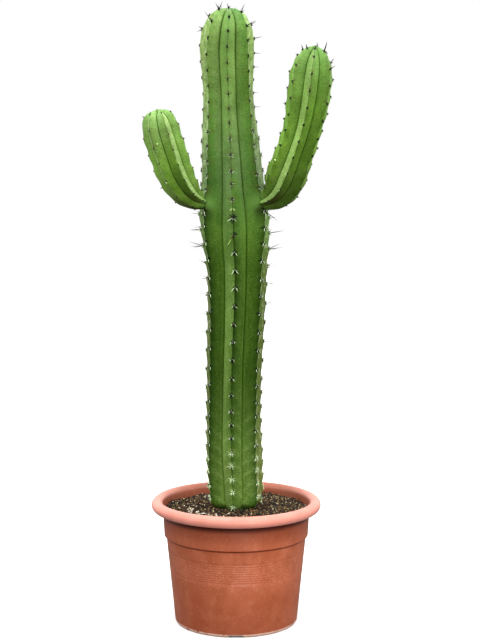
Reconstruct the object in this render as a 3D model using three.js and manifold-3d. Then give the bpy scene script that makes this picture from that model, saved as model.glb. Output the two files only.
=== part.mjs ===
// A potted columnar cactus: a ribbed trunk with two upturned arms, in a terracotta coloured plastic pot.
// Millimetres, +Z up. The pot stands on z = 0 with its axis at x = y = 0, and the plant's front faces -Y.
// Azimuths are in degrees round a stem: 0 faces the front and 90 faces +X.

import * as THREE from 'three';
import { mergeVertices } from 'three/addons/utils/BufferGeometryUtils.js';
import Module from 'manifold-3d';

// The pot's outside
const POT_SIDES = 60;
const POT_HEIGHT = 226.6;
const RIM_RADIUS = 155;
const ROLL_RADIUS = 10.3;
const ROLL_LIP_ANGLE = -65;
const COLLAR_TOP = { radius: 134, z: 200 };
const COLLAR_FOOT = { radius: 131.8, z: 160.8 };
const STEP = { radius: 128.3, z: 158.6 };
const UNDER_STEP = { radius: 127.9, z: 156.6 };
const WALL_TOP = { radius: 127, z: 148 };
const FOOT_RADIUS = 110.5;
const FOOT_EDGE = { radius: 112.4, z: 3.2 };

// The pot's inside and underside
const WALL = 3.5;
const ROLL_WALL = 3.1;
const RECESS_RADIUS = 99;
const RECESS_HEIGHT = 5;
const NOTCH = { count: 4, width: 32, topWidth: 24, height: 4.4 };
const DRAIN = { count: 8, radius: 8, circle: 70, sides: 12 };

// The mix in the pot, and the clearance between pieces that touch
const CLEARANCE = 0.3;
const SOIL_LEVEL = 210;
const SOIL_EDGE_LEVEL = 207.5;
const FLAT_RADIUS = 60;
const MOUND_RINGS = [74, 88, 102, 117];
const MOUND_HEIGHT = 2.2;

// The stem's foot, a plain round peg in a plain round hole of the mix
const PEG_RADIUS = 27;
const PEG_DEPTH = 78;
const PEG_TOP = 262;
const PEG_SIDES = 20;

// The trunk by height: where its axis runs, how far its rib crests stand out, how its front rib turns,
// and how many degrees lie between the front rib and its left and right neighbours
const TRUNK_TIP = 1110;
const TRUNK_AXIS_X = [
  [205, -1.8], [245, -2.2], [300, -4.4], [365, -5.1], [440, -4.3], [511, -2.6], [584, -0.2], [638, 0.5],
  [685, -0.8], [746, -3.4], [800, -5.8], [860, -9.2], [930, -12.5], [1000, -14.9], [1037, -16],
  [1066, -15.3], [1110, -14],
];
const TRUNK_RADIUS = [
  [210, 39], [218, 47.5], [230, 51.3], [271, 53.5], [300, 53.9], [365, 52.4], [440, 52.4], [511, 53.7],
  [584, 55.2], [638, 57.2], [660, 58.9], [685, 62.1], [710, 64.6], [735, 66], [750, 65.8], [765, 64.3],
  [780, 62], [800, 58.6], [825, 56], [860, 53.8], [896, 50.8], [930, 47.8], [965, 46], [1000, 47.5],
  [1037, 49.2], [1066, 47], [1080, 42.7], [1090, 37.5], [1099, 31.5], [1105, 24], [1108.5, 15.5], [1110, 0],
];
const TRUNK_TURN = [
  [205, -4.3], [401, -4.3], [584, -3], [746, -2], [896, -0.2], [1000, -0.2], [1066, 2.4], [1090, 4],
];
const LEFT_GAP = [
  [205, 57], [271, 54.7], [440, 52.3], [511, 51.8], [638, 55.7], [700, 55.3], [780, 51.2], [896, 49.3],
  [1000, 48.7], [1066, 45.4],
];
const RIGHT_GAP = [
  [205, 57], [300, 53], [401, 57.5], [545, 55.2], [660, 54.5], [735, 58.7], [800, 52.9], [860, 50.8],
  [965, 54.2], [1037, 48.4], [1066, 46.3],
];
const RIB_COUNT = 7;
const EVEN_GAP = 360 / RIB_COUNT;
const SIDES_PER_RIB = 4;
const TRUNK_FOOT_ROWS = [218, 230, 248];
const TRUNK_ROW_STEP = 36;
const ARM_ROW_STEP = 20;
const TIP_ROWS = [34, 22, 12, 5, 1];
const GROOVE_RATIO = [
  [205, 0.66], [271, 0.7], [330, 0.75], [401, 0.73], [511, 0.72], [600, 0.73], [685, 0.72], [765, 0.67],
  [825, 0.7], [930, 0.64], [1000, 0.69], [1110, 0.68],
];
const CROWN_DIP = 7;
const FULL_GROOVE_GAP = 50;
const FLANK_BULGE = 0.025;

// The arms: points along each axis, crest radius by the distance along it, the ribs' azimuths and grooves
const LEFT_ARM = {
  axis: [
    [-38, -17, 763.5], [-57, -27, 766.5], [-76, -39.5, 775.5], [-92, -50, 793], [-106, -57, 820],
    [-117, -62, 852], [-128, -67, 888], [-137, -71, 930],
  ],
  radius: [
    [0, 8.5], [22, 12], [45, 21], [75, 30], [110, 34], [165, 34.5], [185, 33.5], [203, 28],
    [213, 19], [218, 0],
  ],
  ribs: [19, 71, 122, 172, 223, 273, 324],
  groove: 0.76,
};
const RIGHT_ARM = {
  axis: [
    [27, -14, 764.5], [45, -25, 766.8], [57, -32, 771.3], [70, -39, 780.7], [81, -44, 797], [102, -54, 851],
    [116.5, -61, 898], [125.5, -66, 946], [131.5, -69, 995], [137, -72, 1039],
  ],
  radius: [
    [0, 8], [20, 13], [42, 24.5], [65, 34.5], [90, 38], [130, 35.8], [175, 35.5], [225, 39.5], [262, 39.5],
    [288, 33], [305, 21.5], [311, 13.5], [316, 0],
  ],
  ribs: [-2, 55.5, 106, 155, 204, 255, 306.6],
  groove: 0.68,
};

// Areoles along the crests, and the spines that grow from them
const FIRST_AREOLE = 221;
const AREOLE_SPACING = [
  [221, 24], [390, 25], [430, 31.5], [735, 31.5], [790, 26.5], [900, 26.5],
  [1050, 28], [1085, 17], [1110, 14],
];
const ARM_FIRST_AREOLE = 34;
const ARM_AREOLE_SPACING = 28;
const AREOLE_STAGGER = 0.4;
const BARE_TIP = 2.5;
const OLD_SPINE = { length: 20, spread: 4, base: 0.75, rise: 0.05 };
const YOUNG_SPINE = { length: 11.5, spread: 2.5, base: 0.8, rise: 0.35 };
const YOUNG_FROM = 940;
const ARM_YOUNG_FROM = 60;
const SIDE_SPINE = { length: 6.5, spread: 1.5, base: 0.6, outward: 0.55 };
const SIDE_SPINE_EVERY = 4;
const SPINE_SCATTER = 0.7;
const SPINE_SINK = 3.5;
const SPINE_SEED = 20;

// The small pale bud on the front rib
const BUD = { z: 756, length: 11, width: 8 };

const wasm = await Module();
wasm.setup();

const radians = THREE.MathUtils.degToRad;
const UP = new THREE.Vector3(0, 0, 1);

// The value at a place on a line of [place, value] pairs, smooth between them and level past its ends.
function along(pairs, place) {
  if (place <= pairs[0][0]) return pairs[0][1];
  const next = pairs.findIndex((pair) => pair[0] >= place);
  if (next < 0) return pairs[pairs.length - 1][1];
  const before = pairs[Math.max(next - 2, 0)];
  const [from, to] = [pairs[next - 1], pairs[next]];
  const after = pairs[Math.min(next + 1, pairs.length - 1)];
  const part = (place - from[0]) / (to[0] - from[0]);
  const slopeIn = limitedSlope(before, from, to);
  const slopeOut = limitedSlope(from, to, after);
  const span = to[0] - from[0];
  const square = part * part;
  const cube = square * part;
  return (
    from[1] * (2 * cube - 3 * square + 1) +
    to[1] * (3 * square - 2 * cube) +
    span * (slopeIn * (cube - 2 * square + part) + slopeOut * (cube - square))
  );
}

// The slope at the middle of three pairs, zero at a turning point so that the line never overshoots.
function limitedSlope(before, middle, after) {
  const left = slopeOf(before, middle);
  const right = slopeOf(middle, after);
  if (left * right <= 0) return 0;
  return (2 * left * right) / (left + right);
}

function slopeOf(from, to) {
  const span = to[0] - from[0];
  return span > 0 ? (to[1] - from[1]) / span : 0;
}

// A seeded draw of numbers from 0 to 1.
function drawer(seed) {
  let state = seed;
  return () => {
    state = (state * 1664525 + 1013904223) % 4294967296;
    return state / 4294967296;
  };
}

function solidOf(geometry) {
  const bare = geometry.clone();
  bare.deleteAttribute('normal');
  bare.deleteAttribute('uv');
  const merged = mergeVertices(bare, 1e-4);
  return new wasm.Manifold(new wasm.Mesh({
    numProp: 3,
    vertProperties: new Float32Array(merged.getAttribute('position').array),
    triVerts: new Uint32Array(merged.index.array),
  }));
}

function geometryOf(solid) {
  const mesh = solid.getMesh();
  const geometry = new THREE.BufferGeometry();
  geometry.setAttribute('position', new THREE.BufferAttribute(mesh.vertProperties, 3));
  geometry.setIndex(new THREE.BufferAttribute(mesh.triVerts, 1));
  return geometry;
}

// A round body about the Z axis, from a profile of [radius, z] points.
function turned(profile, sides) {
  const points = profile.map(([radius, z]) => new THREE.Vector2(radius, z));
  return new THREE.LatheGeometry(points, sides).rotateX(Math.PI / 2);
}

// The pot

// Points on a circle in the profile's plane, from one angle to another in degrees.
function arc(centre, radius, from, to, steps) {
  return Array.from({ length: steps + 1 }, (_, i) => {
    const angle = radians(from + ((to - from) * i) / steps);
    return [centre[0] + radius * Math.cos(angle), centre[1] + radius * Math.sin(angle)];
  });
}

// The inside of the wall from the floor of the pot to where the rim begins to roll outward.
function insideWall(gap) {
  const inset = WALL + gap;
  return [
    [FOOT_EDGE.radius + 0.5 - inset, RECESS_HEIGHT + inset],
    [WALL_TOP.radius - inset, WALL_TOP.z],
    [STEP.radius - inset, STEP.z],
    [COLLAR_FOOT.radius - inset, COLLAR_FOOT.z],
    [COLLAR_TOP.radius - inset, COLLAR_TOP.z],
  ];
}

function potProfile() {
  const rollCentre = [RIM_RADIUS - ROLL_RADIUS, POT_HEIGHT - ROLL_RADIUS];
  const rollInside = arc(rollCentre, ROLL_RADIUS - ROLL_WALL, 180, ROLL_LIP_ANGLE, 5);
  const rollOutside = arc(rollCentre, ROLL_RADIUS, ROLL_LIP_ANGLE, 180, 8);
  return [
    [0, RECESS_HEIGHT],
    [RECESS_RADIUS, RECESS_HEIGHT],
    [RECESS_RADIUS, 0],
    [FOOT_RADIUS, 0],
    [FOOT_EDGE.radius, FOOT_EDGE.z],
    [WALL_TOP.radius, WALL_TOP.z],
    [UNDER_STEP.radius, UNDER_STEP.z],
    [STEP.radius, STEP.z],
    [COLLAR_FOOT.radius, COLLAR_FOOT.z],
    [COLLAR_TOP.radius, COLLAR_TOP.z],
    ...rollInside,
    ...rollOutside,
    ...insideWall(0).reverse(),
    [0, RECESS_HEIGHT + WALL],
  ];
}

function footNotch(turn) {
  const reach = RECESS_RADIUS - WALL;
  const length = FOOT_EDGE.radius + WALL - reach;
  const below = -NOTCH.height;
  const outline = new THREE.Shape([
    new THREE.Vector2(-NOTCH.width / 2, below),
    new THREE.Vector2(NOTCH.width / 2, below),
    new THREE.Vector2(NOTCH.width / 2, 0),
    new THREE.Vector2(NOTCH.topWidth / 2, NOTCH.height),
    new THREE.Vector2(-NOTCH.topWidth / 2, NOTCH.height),
    new THREE.Vector2(-NOTCH.width / 2, 0),
  ]);
  const cutter = new THREE.ExtrudeGeometry(outline, { depth: length, bevelEnabled: false });
  cutter.rotateX(Math.PI / 2).translate(0, -reach, 0);
  return solidOf(cutter.rotateZ(turn));
}

function drainHole(turn) {
  const hole = new THREE.CylinderGeometry(DRAIN.radius, DRAIN.radius, 4 * WALL, DRAIN.sides);
  hole.rotateX(Math.PI / 2).translate(0, -DRAIN.circle, RECESS_HEIGHT + WALL / 2);
  return solidOf(hole.rotateZ(turn));
}

function pot() {
  let body = solidOf(turned(potProfile(), POT_SIDES));
  for (let i = 0; i < NOTCH.count; i += 1) {
    body = body.subtract(footNotch((2 * Math.PI * i) / NOTCH.count));
  }
  for (let i = 0; i < DRAIN.count; i += 1) {
    body = body.subtract(drainHole((2 * Math.PI * (i + 0.5)) / DRAIN.count));
  }
  return geometryOf(body);
}

// The mix

// Low mounds on the mix, nothing where the stem stands.
function mound(x, y) {
  const fade = THREE.MathUtils.smoothstep(Math.hypot(x, y), FLAT_RADIUS, MOUND_RINGS[1]);
  const broad = Math.sin(x / 17 + 0.4) * Math.cos(y / 21);
  const narrow = 0.7 * Math.sin(y / 11 - x / 29);
  return fade * MOUND_HEIGHT * (broad + narrow);
}

function soil() {
  const rings = [...MOUND_RINGS].reverse();
  const edge = [COLLAR_TOP.radius - WALL - CLEARANCE + 1.2, SOIL_EDGE_LEVEL];
  const hole = PEG_RADIUS + CLEARANCE;
  const holeFloor = SOIL_LEVEL - PEG_DEPTH - CLEARANCE;
  const profile = [
    [0, RECESS_HEIGHT + WALL + CLEARANCE],
    ...insideWall(CLEARANCE),
    edge,
    ...rings.map((radius) => [radius, SOIL_LEVEL]),
    [FLAT_RADIUS, SOIL_LEVEL],
    [hole, SOIL_LEVEL],
    [hole, holeFloor],
    [0, holeFloor],
  ];
  const body = turned(profile, POT_SIDES);
  const spots = body.getAttribute('position');
  for (let i = 0; i < spots.count; i += 1) {
    const [x, y, z] = [spots.getX(i), spots.getY(i), spots.getZ(i)];
    if (Math.abs(z - SOIL_LEVEL) < 0.01) spots.setZ(i, z + mound(x, y));
  }
  return body;
}

// Stems

// How far out the surface lies, as a share of the crest radius, between a crest (0) and a groove (1).
// The flank is a straight line seen from above, swelled a little in its middle.
function flankRatio(part, halfGap, groove) {
  const reach = radians(halfGap);
  const angle = part * reach;
  const straight = (groove * Math.sin(reach)) / (Math.sin(angle) + groove * Math.sin(reach - angle));
  return straight + FLANK_BULGE * Math.sin(Math.PI * part);
}

// The trunk's crests by azimuth: the front one and its neighbours as seen, the rest evenly round the back.
function trunkCrests(z) {
  const front = along(TRUNK_TURN, z);
  const right = front + along(RIGHT_GAP, z);
  const left = front + 360 - along(LEFT_GAP, z);
  const second = right + EVEN_GAP;
  const fifth = left - EVEN_GAP;
  const step = (fifth - second) / 3;
  return [front, right, second, second + step, second + 2 * step, fifth, left];
}

const trunk = {
  from: SOIL_LEVEL + CLEARANCE,
  to: TRUNK_TIP,
  crests: trunkCrests,
  groove: (z) => along(GROOVE_RATIO, z),
  radius: (z) => along(TRUNK_RADIUS, z),
  frame: (z) => ({
    centre: new THREE.Vector3(along(TRUNK_AXIS_X, z), 0, z),
    along: UP,
    front: new THREE.Vector3(0, -1, 0),
    right: new THREE.Vector3(1, 0, 0),
  }),
};

function arm({ axis, radius, ribs, groove }) {
  const points = axis.map((point) => new THREE.Vector3(...point));
  const curve = new THREE.CatmullRomCurve3(points, false, 'centripetal');
  const length = radius[radius.length - 1][0];
  return {
    from: 0,
    to: length,
    crests: () => ribs,
    groove: () => groove,
    radius: (distance) => along(radius, distance),
    frame: (distance) => {
      const part = THREE.MathUtils.clamp(distance / length, 0, 1);
      const tangent = curve.getTangentAt(part);
      const front = new THREE.Vector3(0, -1, 0).addScaledVector(tangent, tangent.y).normalize();
      return {
        centre: curve.getPointAt(part),
        along: tangent,
        front,
        right: new THREE.Vector3().crossVectors(tangent, front),
      };
    },
  };
}

function onStem(stem, place, azimuth, radius) {
  const { centre, front, right } = stem.frame(place);
  const angle = radians(azimuth);
  return centre
    .clone()
    .addScaledVector(front, radius * Math.cos(angle))
    .addScaledVector(right, radius * Math.sin(angle));
}

// The azimuth, the distance out and the dip towards the stem's foot of one column of its surface.
// The grooves dip at the crown, so that they run up over the tip between the ribs.
function columnAt(stem, place, column) {
  const crests = stem.crests(place);
  const rib = Math.floor(column / SIDES_PER_RIB) % RIB_COUNT;
  const part = (column % SIDES_PER_RIB) / SIDES_PER_RIB;
  const next = rib + 1 < RIB_COUNT ? crests[rib + 1] : crests[0] + 360;
  const gap = next - crests[rib];
  const depth = (1 - stem.groove(place)) * Math.min(gap / FULL_GROOVE_GAP, 1);
  const toGroove = 1 - Math.abs(1 - 2 * part);
  const inCrown = THREE.MathUtils.smoothstep(place, stem.to - TIP_ROWS[0], stem.to);
  return {
    azimuth: crests[rib] + gap * part,
    radius: stem.radius(place) * flankRatio(toGroove, gap / 2, 1 - depth),
    dip: CROWN_DIP * inCrown * toGroove ** 1.5,
  };
}

// A ribbed body: a plain lathe with a row at each place, whose columns are then moved onto the stem.
function ribbedBody(stem, places) {
  const columns = RIB_COUNT * SIDES_PER_RIB;
  const last = places.length - 1;
  const profile = [[0, 0], ...places.map((_, i) => [1, i]), [0, last]];
  const points = profile.map(([radius, y]) => new THREE.Vector2(radius, y));
  const body = new THREE.LatheGeometry(points, columns);
  const spots = body.getAttribute('position');
  for (let i = 0; i < spots.count; i += 1) {
    const [x, y, z] = [spots.getX(i), spots.getY(i), spots.getZ(i)];
    const place = places[Math.round(y)];
    const turn = Math.round((Math.atan2(x, z) / (2 * Math.PI)) * columns + columns) % columns;
    const { azimuth, radius, dip } = columnAt(stem, place, turn);
    const onAxis = Math.hypot(x, z) < 0.5;
    const spot = onStem(stem, place, azimuth, onAxis ? 0 : radius);
    if (!onAxis) spot.addScaledVector(stem.frame(place).along, -dip);
    spots.setXYZ(i, spot.x, spot.y, spot.z);
  }
  return solidOf(body);
}

// Rows a step apart, closing up towards the rounded tip.
function rowsOf(stem, step, foot) {
  const tipRows = TIP_ROWS.map((down) => stem.to - down);
  const span = tipRows[0] - foot[foot.length - 1];
  const count = Math.ceil(span / step);
  const even = Array.from({ length: count }, (_, i) => foot[foot.length - 1] + (span * i) / count);
  return [...foot.slice(0, -1), ...even, ...tipRows];
}

// Spines

function spine(root, direction, length, base) {
  const whole = length + SPINE_SINK;
  const cone = new THREE.ConeGeometry(base, whole, 3);
  cone.translate(0, whole / 2 - SPINE_SINK, 0);
  const aim = new THREE.Quaternion().setFromUnitVectors(new THREE.Vector3(0, 1, 0), direction);
  return solidOf(cone.applyQuaternion(aim).translate(root.x, root.y, root.z));
}

// A spot on a crest, with the directions out of it, up along the rib and across the rib.
function crestSpot(stem, place, rib) {
  const radius = stem.radius(place);
  const azimuth = stem.crests(place)[rib];
  const root = onStem(stem, place, azimuth, radius);
  const step = 2;
  const above = onStem(stem, Math.min(place + step, stem.to), azimuth, stem.radius(place + step));
  const below = onStem(stem, place - step, azimuth, stem.radius(place - step));
  const up = above.sub(below).normalize();
  const frame = stem.frame(place);
  const across = frame.right
    .clone()
    .multiplyScalar(Math.cos(radians(azimuth)))
    .addScaledVector(frame.front, -Math.sin(radians(azimuth)));
  const out = new THREE.Vector3().crossVectors(across, up).normalize();
  return { root, up, out, across };
}

// A direction made of so much outward, upward and across the rib.
function heading({ out, up, across }, outward, upward, sideways) {
  return new THREE.Vector3()
    .addScaledVector(out, outward)
    .addScaledVector(up, upward)
    .addScaledVector(across, sideways)
    .normalize();
}

function oneOf(kind, spot, direction, draw) {
  const length = kind.length + kind.spread * (2 * draw() - 1);
  return spine(spot.root, direction, length, kind.base);
}

// One long spine straight out and, at some areoles, one short one lying over the flank.
function spinesAt(spot, kind, withSide, draw) {
  const lift = kind.rise + SPINE_SCATTER * (draw() - 0.5);
  const drift = SPINE_SCATTER * (draw() - 0.5);
  const spines = [oneOf(kind, spot, heading(spot, 1, lift, drift), draw)];
  const side = draw() < 0.5 ? 1 : -1;
  const lean = 2 * SPINE_SCATTER * (draw() - 0.5);
  if (withSide) {
    spines.push(oneOf(SIDE_SPINE, spot, heading(spot, SIDE_SPINE.outward, lean, side), draw));
  }
  return spines;
}

// Spines on every rib of a stem, young ones past a given place, with the areoles staggered rib by rib.
function spinesOn(stem, first, spacing, youngFrom, draw) {
  const spines = [];
  for (let rib = 0; rib < RIB_COUNT; rib += 1) {
    let place = first + spacing(first) * ((rib * AREOLE_STAGGER) % 1);
    for (let count = 0; place < stem.to - BARE_TIP; count += 1) {
      const kind = place > youngFrom ? YOUNG_SPINE : OLD_SPINE;
      const spot = crestSpot(stem, place, rib);
      spines.push(...spinesAt(spot, kind, count % SIDE_SPINE_EVERY === 0, draw));
      place += spacing(place);
    }
  }
  return spines;
}

function bud() {
  const { root, out, up } = crestSpot(trunk, BUD.z, 0);
  const body = new THREE.SphereGeometry(BUD.width / 2, 8, 6).scale(1, 1, BUD.length / BUD.width);
  const centre = root.clone().addScaledVector(out, BUD.width / 4).addScaledVector(up, 1);
  return solidOf(body.rotateX(Math.PI / 2).translate(centre.x, centre.y, centre.z));
}

function cactus() {
  const pegFloor = SOIL_LEVEL - PEG_DEPTH;
  const peg = new THREE.CylinderGeometry(PEG_RADIUS, PEG_RADIUS, PEG_TOP - pegFloor, PEG_SIDES);
  peg.rotateX(Math.PI / 2).translate(0, 0, (PEG_TOP + pegFloor) / 2);
  const arms = [arm(LEFT_ARM), arm(RIGHT_ARM)];
  const draw = drawer(SPINE_SEED);
  const armSpacing = () => ARM_AREOLE_SPACING;
  const pieces = [
    ribbedBody(trunk, rowsOf(trunk, TRUNK_ROW_STEP, [trunk.from, ...TRUNK_FOOT_ROWS])),
    ...arms.map((limb) => ribbedBody(limb, rowsOf(limb, ARM_ROW_STEP, [0]))),
    solidOf(peg),
    bud(),
    ...spinesOn(trunk, FIRST_AREOLE, (z) => along(AREOLE_SPACING, z), YOUNG_FROM, draw),
    ...arms.flatMap((limb) => spinesOn(limb, ARM_FIRST_AREOLE, armSpacing, ARM_YOUNG_FROM, draw)),
  ];
  return geometryOf(wasm.Manifold.union(pieces));
}

// The assembly

function piece(name, geometry, color, roughness) {
  const mesh = new THREE.Mesh(geometry, new THREE.MeshStandardMaterial({ color, roughness, metalness: 0 }));
  mesh.name = name;
  return mesh;
}

const plant = new THREE.Group();
plant.add(piece('pot', pot(), 0xb9694f, 0.55));
plant.add(piece('soil', soil(), 0x54402f, 0.95));
plant.add(piece('cactus', cactus(), 0x5c8a3a, 0.5));

export default plant;
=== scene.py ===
# The looks of a potted columnar cactus: skin, spines, mix and pot, in a plain bright studio.
# Lengths are millimetres up to the moment that a mesh is made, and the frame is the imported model's own.

import math
from types import SimpleNamespace

import bpy
import numpy as np
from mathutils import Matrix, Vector, noise


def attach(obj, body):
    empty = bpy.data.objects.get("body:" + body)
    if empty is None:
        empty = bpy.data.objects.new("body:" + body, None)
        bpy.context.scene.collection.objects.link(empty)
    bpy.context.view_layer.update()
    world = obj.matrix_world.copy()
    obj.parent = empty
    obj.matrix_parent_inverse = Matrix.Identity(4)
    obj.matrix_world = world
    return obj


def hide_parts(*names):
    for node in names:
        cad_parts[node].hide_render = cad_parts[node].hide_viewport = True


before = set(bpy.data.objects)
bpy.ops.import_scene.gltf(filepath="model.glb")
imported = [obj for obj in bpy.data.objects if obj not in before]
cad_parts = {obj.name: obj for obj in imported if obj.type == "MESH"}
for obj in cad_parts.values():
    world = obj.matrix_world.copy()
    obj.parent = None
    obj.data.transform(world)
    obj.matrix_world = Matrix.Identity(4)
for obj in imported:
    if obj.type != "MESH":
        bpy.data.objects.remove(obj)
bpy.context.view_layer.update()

METRES = 0.001

# The camera that a fit to the pot's ellipses gives, in metres and degrees
CAMERA_PLACE = (0.007, -2.5291, 0.8148)
CAMERA_DOWN = 5.869
CAMERA_SENSOR = 36.0
CAMERA_LENS = 78.98
PICTURE_WIDTH = 480
PICTURE_HEIGHT = 640
PICTURE_FOCUS = CAMERA_LENS / CAMERA_SENSOR * PICTURE_HEIGHT

# The light: the sky's brightness straight up, at eye level and below, how far down it fades, its share
# at the front and what the sides and the back gain, then the lamps in metres, watts and degrees
SKY_UP = 2.5
SKY_LEVEL = 1.0
SKY_BELOW = 0.2
SKY_FADE = -0.15
SKY_FRONT = 0.42
SKY_SIDE_GAIN = 0.75
SKY_BACK_GAIN = 0.6
SOFT_BOXES = {
    "left_light": {"place": (-2.3, -1.1, 1.9), "aim": (0, 0, 0.5), "size": 1.2, "power": 15},
    "right_light": {"place": (2.2, -1.3, 2.2), "aim": (0, 0, 0.4), "size": 1.2, "power": 31},
    "top_light": {"place": (-0.2, -0.4, 3.4), "aim": (0, 0, 0.5), "size": 1.6, "power": 62},
}
POT_LIGHT = {"place": (0.5, -2.6, 0.3), "aim": (0.01, 0, 0.125), "cone": 8.5, "source": 0.15, "power": 340}
FLOOR_SIDE = 12000.0

# The pot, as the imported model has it
RIM_RADIUS = 155.0
POT_HEIGHT = 226.6
ROLL_RADIUS = 10.3
ROLL_WALL = 3.1
ROLL_LIP_ANGLE = -65.0
COLLAR_TOP = (134.0, 200.0)
COLLAR_FOOT = (131.8, 160.8)
STEP = (128.3, 158.6)
WALL_TOP = (127.0, 148.0)
FOOT_RADIUS = 110.5
FOOT_EDGE = (112.4, 3.2)
WALL = 3.5
RECESS_RADIUS = 99.0
RECESS_HEIGHT = 5.0
NOTCHES = 4
NOTCH_WIDTH = 32.0
NOTCH_TOP_WIDTH = 24.0
NOTCH_HEIGHT = 4.4
DRAINS = 8
DRAIN_RADIUS = 8.0
DRAIN_CIRCLE = 70.0
DRAIN_COLUMNS = 32
POT_COLUMNS = 288
LONGEST_EDGE = 7.0
CORNER_CUT = 0.9
ON_AXIS = 0.5

# The fine lines round the wall of the pot
LINES_FROM = 99.8
LINES_APART = 4.3
LINES = 9
LINE_DEPTH = 0.17
LINE_WIDTH = 1.5

# The mix: pairs are distances from the pot's axis between which it changes. Its loose grains: how many,
# their sizes, flatness, tones and colours, and where they lie, which is from and to a distance from the
# pot's axis, and from and to a turn from its front in degrees
CLEARANCE = 0.3
SOIL_LEVEL = 210.0
SOIL_EDGE_LEVEL = 207.5
SOIL_COLUMNS = 300
SOIL_ROWS = 84
PEG_RADIUS = 27.0
PEG_DEPTH = 78.0
FLAT_TO = (60, 88)
EDGE_FROM = (112, 131)
MOUND_HEIGHT = 2.2
CRUMB_HEIGHT = 1.1
FINE_CRUMB = 2.2
COARSE_CRUMB = 6
SMOOTH_TO = (40, 56)
HEAP_HEIGHT = 2.0
HEAP_TO = (48, 62)
GRAIN_SKEW = 1.6
GRAIN_UNEVEN = 0.22
WHOLE_MIX = (36.0, 129.0, 0.0, 360.0)
PUMICE_PATCH = (78.0, 128.0, -72.0, 12.0)
GRAINS = {
    "mix_crumbs": (5200, (1.6, 6.0), 0.75, (0, 0.95), "mix_dark", WHOLE_MIX),
    "mix_grit": (1200, (1.5, 4.8), 0.7, (0, 1), "mix_pale", WHOLE_MIX),
    "mix_pumice": (170, (2.2, 6.5), 0.75, (0, 1), "mix_white", PUMICE_PATCH),
}

# The trunk by height, and its ribs
TRUNK_TIP = 1110.0
TRUNK_AXIS_X = [
    (205, -1.8), (245, -2.2), (300, -4.4), (365, -5.1), (440, -4.3), (511, -2.6), (584, -0.2), (638, 0.5),
    (685, -0.8), (746, -3.4), (800, -5.8), (860, -9.2), (930, -12.5), (1000, -14.9), (1037, -16),
    (1066, -15.3), (1110, -14),
]
TRUNK_RADIUS = [
    (210, 39), (218, 47.5), (230, 51.3), (271, 53.5), (300, 53.9), (365, 52.4), (440, 52.4), (511, 53.7),
    (584, 55.2), (638, 57.2), (660, 58.9), (685, 62.1), (710, 64.6), (735, 66), (750, 65.8), (765, 64.3),
    (780, 62), (800, 58.6), (825, 56), (860, 53.8), (896, 50.8), (930, 47.8), (965, 46), (1000, 47.5),
    (1037, 49.2), (1066, 47), (1080, 42.7), (1090, 37.5), (1099, 31.5), (1105, 24), (1108.5, 15.5), (1110, 0),
]
RIB_COUNT = 7
EVEN_GAP = 360 / RIB_COUNT
TRUNK_TURN = [
    (205, -4.3), (401, -4.3), (584, -3), (746, -2), (896, -0.2), (1000, -0.2), (1066, 2.4), (1090, 4),
]
LEFT_GAP = [
    (205, 57), (271, 54.7), (440, 52.3), (511, 51.8), (638, 55.7), (700, 55.3), (780, 51.2), (896, 49.3),
    (1000, 48.7), (1066, 45.4),
]
RIGHT_GAP = [
    (205, 57), (300, 53), (401, 57.5), (545, 55.2), (660, 54.5), (735, 58.7), (800, 52.9), (860, 50.8),
    (965, 54.2), (1037, 48.4), (1066, 46.3),
]
GROOVE_RATIO = [
    (205, 0.66), (271, 0.7), (330, 0.75), (401, 0.73), (511, 0.72), (600, 0.73), (685, 0.72), (765, 0.67),
    (825, 0.7), (930, 0.64), (1000, 0.69), (1110, 0.68),
]
FULL_GROOVE_GAP = 50.0
FLANK_BULGE = 0.025

# The arms: points along each axis, crest radius by the distance along it, the ribs' azimuths and grooves
LEFT_ARM = {
    "axis": [
        (-38, -17, 763.5), (-57, -27, 766.5), (-76, -39.5, 775.5), (-92, -50, 793), (-106, -57, 820),
        (-117, -62, 852), (-128, -67, 888), (-137, -71, 930),
    ],
    "radius": [
        (0, 8.5), (22, 12), (45, 21), (75, 30), (110, 34), (165, 34.5), (185, 33.5), (203, 28),
        (213, 19), (218, 0),
    ],
    "ribs": (19, 71, 122, 172, 223, 273, 324),
    "groove": 0.76,
    "first_areole": 34.0,
    "wander": 1.9,
}
RIGHT_ARM = {
    "axis": [
        (27, -14, 764.5), (45, -25, 766.8), (57, -32, 771.3), (70, -39, 780.7), (81, -44, 797),
        (102, -54, 851), (116.5, -61, 898), (125.5, -66, 946), (131.5, -69, 995), (137, -72, 1039),
    ],
    "radius": [
        (0, 8), (20, 13), (42, 24.5), (65, 34.5), (90, 38), (130, 35.8), (175, 35.5), (225, 39.5),
        (262, 39.5), (288, 33), (305, 21.5), (311, 13.5), (316, 0),
    ],
    "ribs": (-2, 55.5, 106, 155, 204, 255, 306.6),
    "groove": 0.68,
    "first_areole": 44.0,
    "wander": 3.3,
}

# The finer form of the ribs: rounded crests, sharp grooves, a swelling between areoles and a slight wander
HALF_FLANK = (0, 0.03, 0.07, 0.13, 0.21, 0.32, 0.45, 0.59, 0.72, 0.83, 0.91, 0.96, 0.985)
CREST_ROUNDING = 0.09
CREASE_DEPTH = 2.2
CREASE_WIDTH = 0.05
CRENATION = 1.4
CRENATION_REACH = 0.35
SMOOTH_FROM = (740.0, 840.0)
FULL_CRENATION_RADIUS = 30
RIB_WANDER = 0.35
TRUNK_WANDER = 0.4
TRUNK_ROW_STEP = 3.4
ARM_ROW_STEP = 3.6
TIP_REACH = 34.0
TIP_ROWS = 22
CROWN_DIP = 7.0

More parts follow.
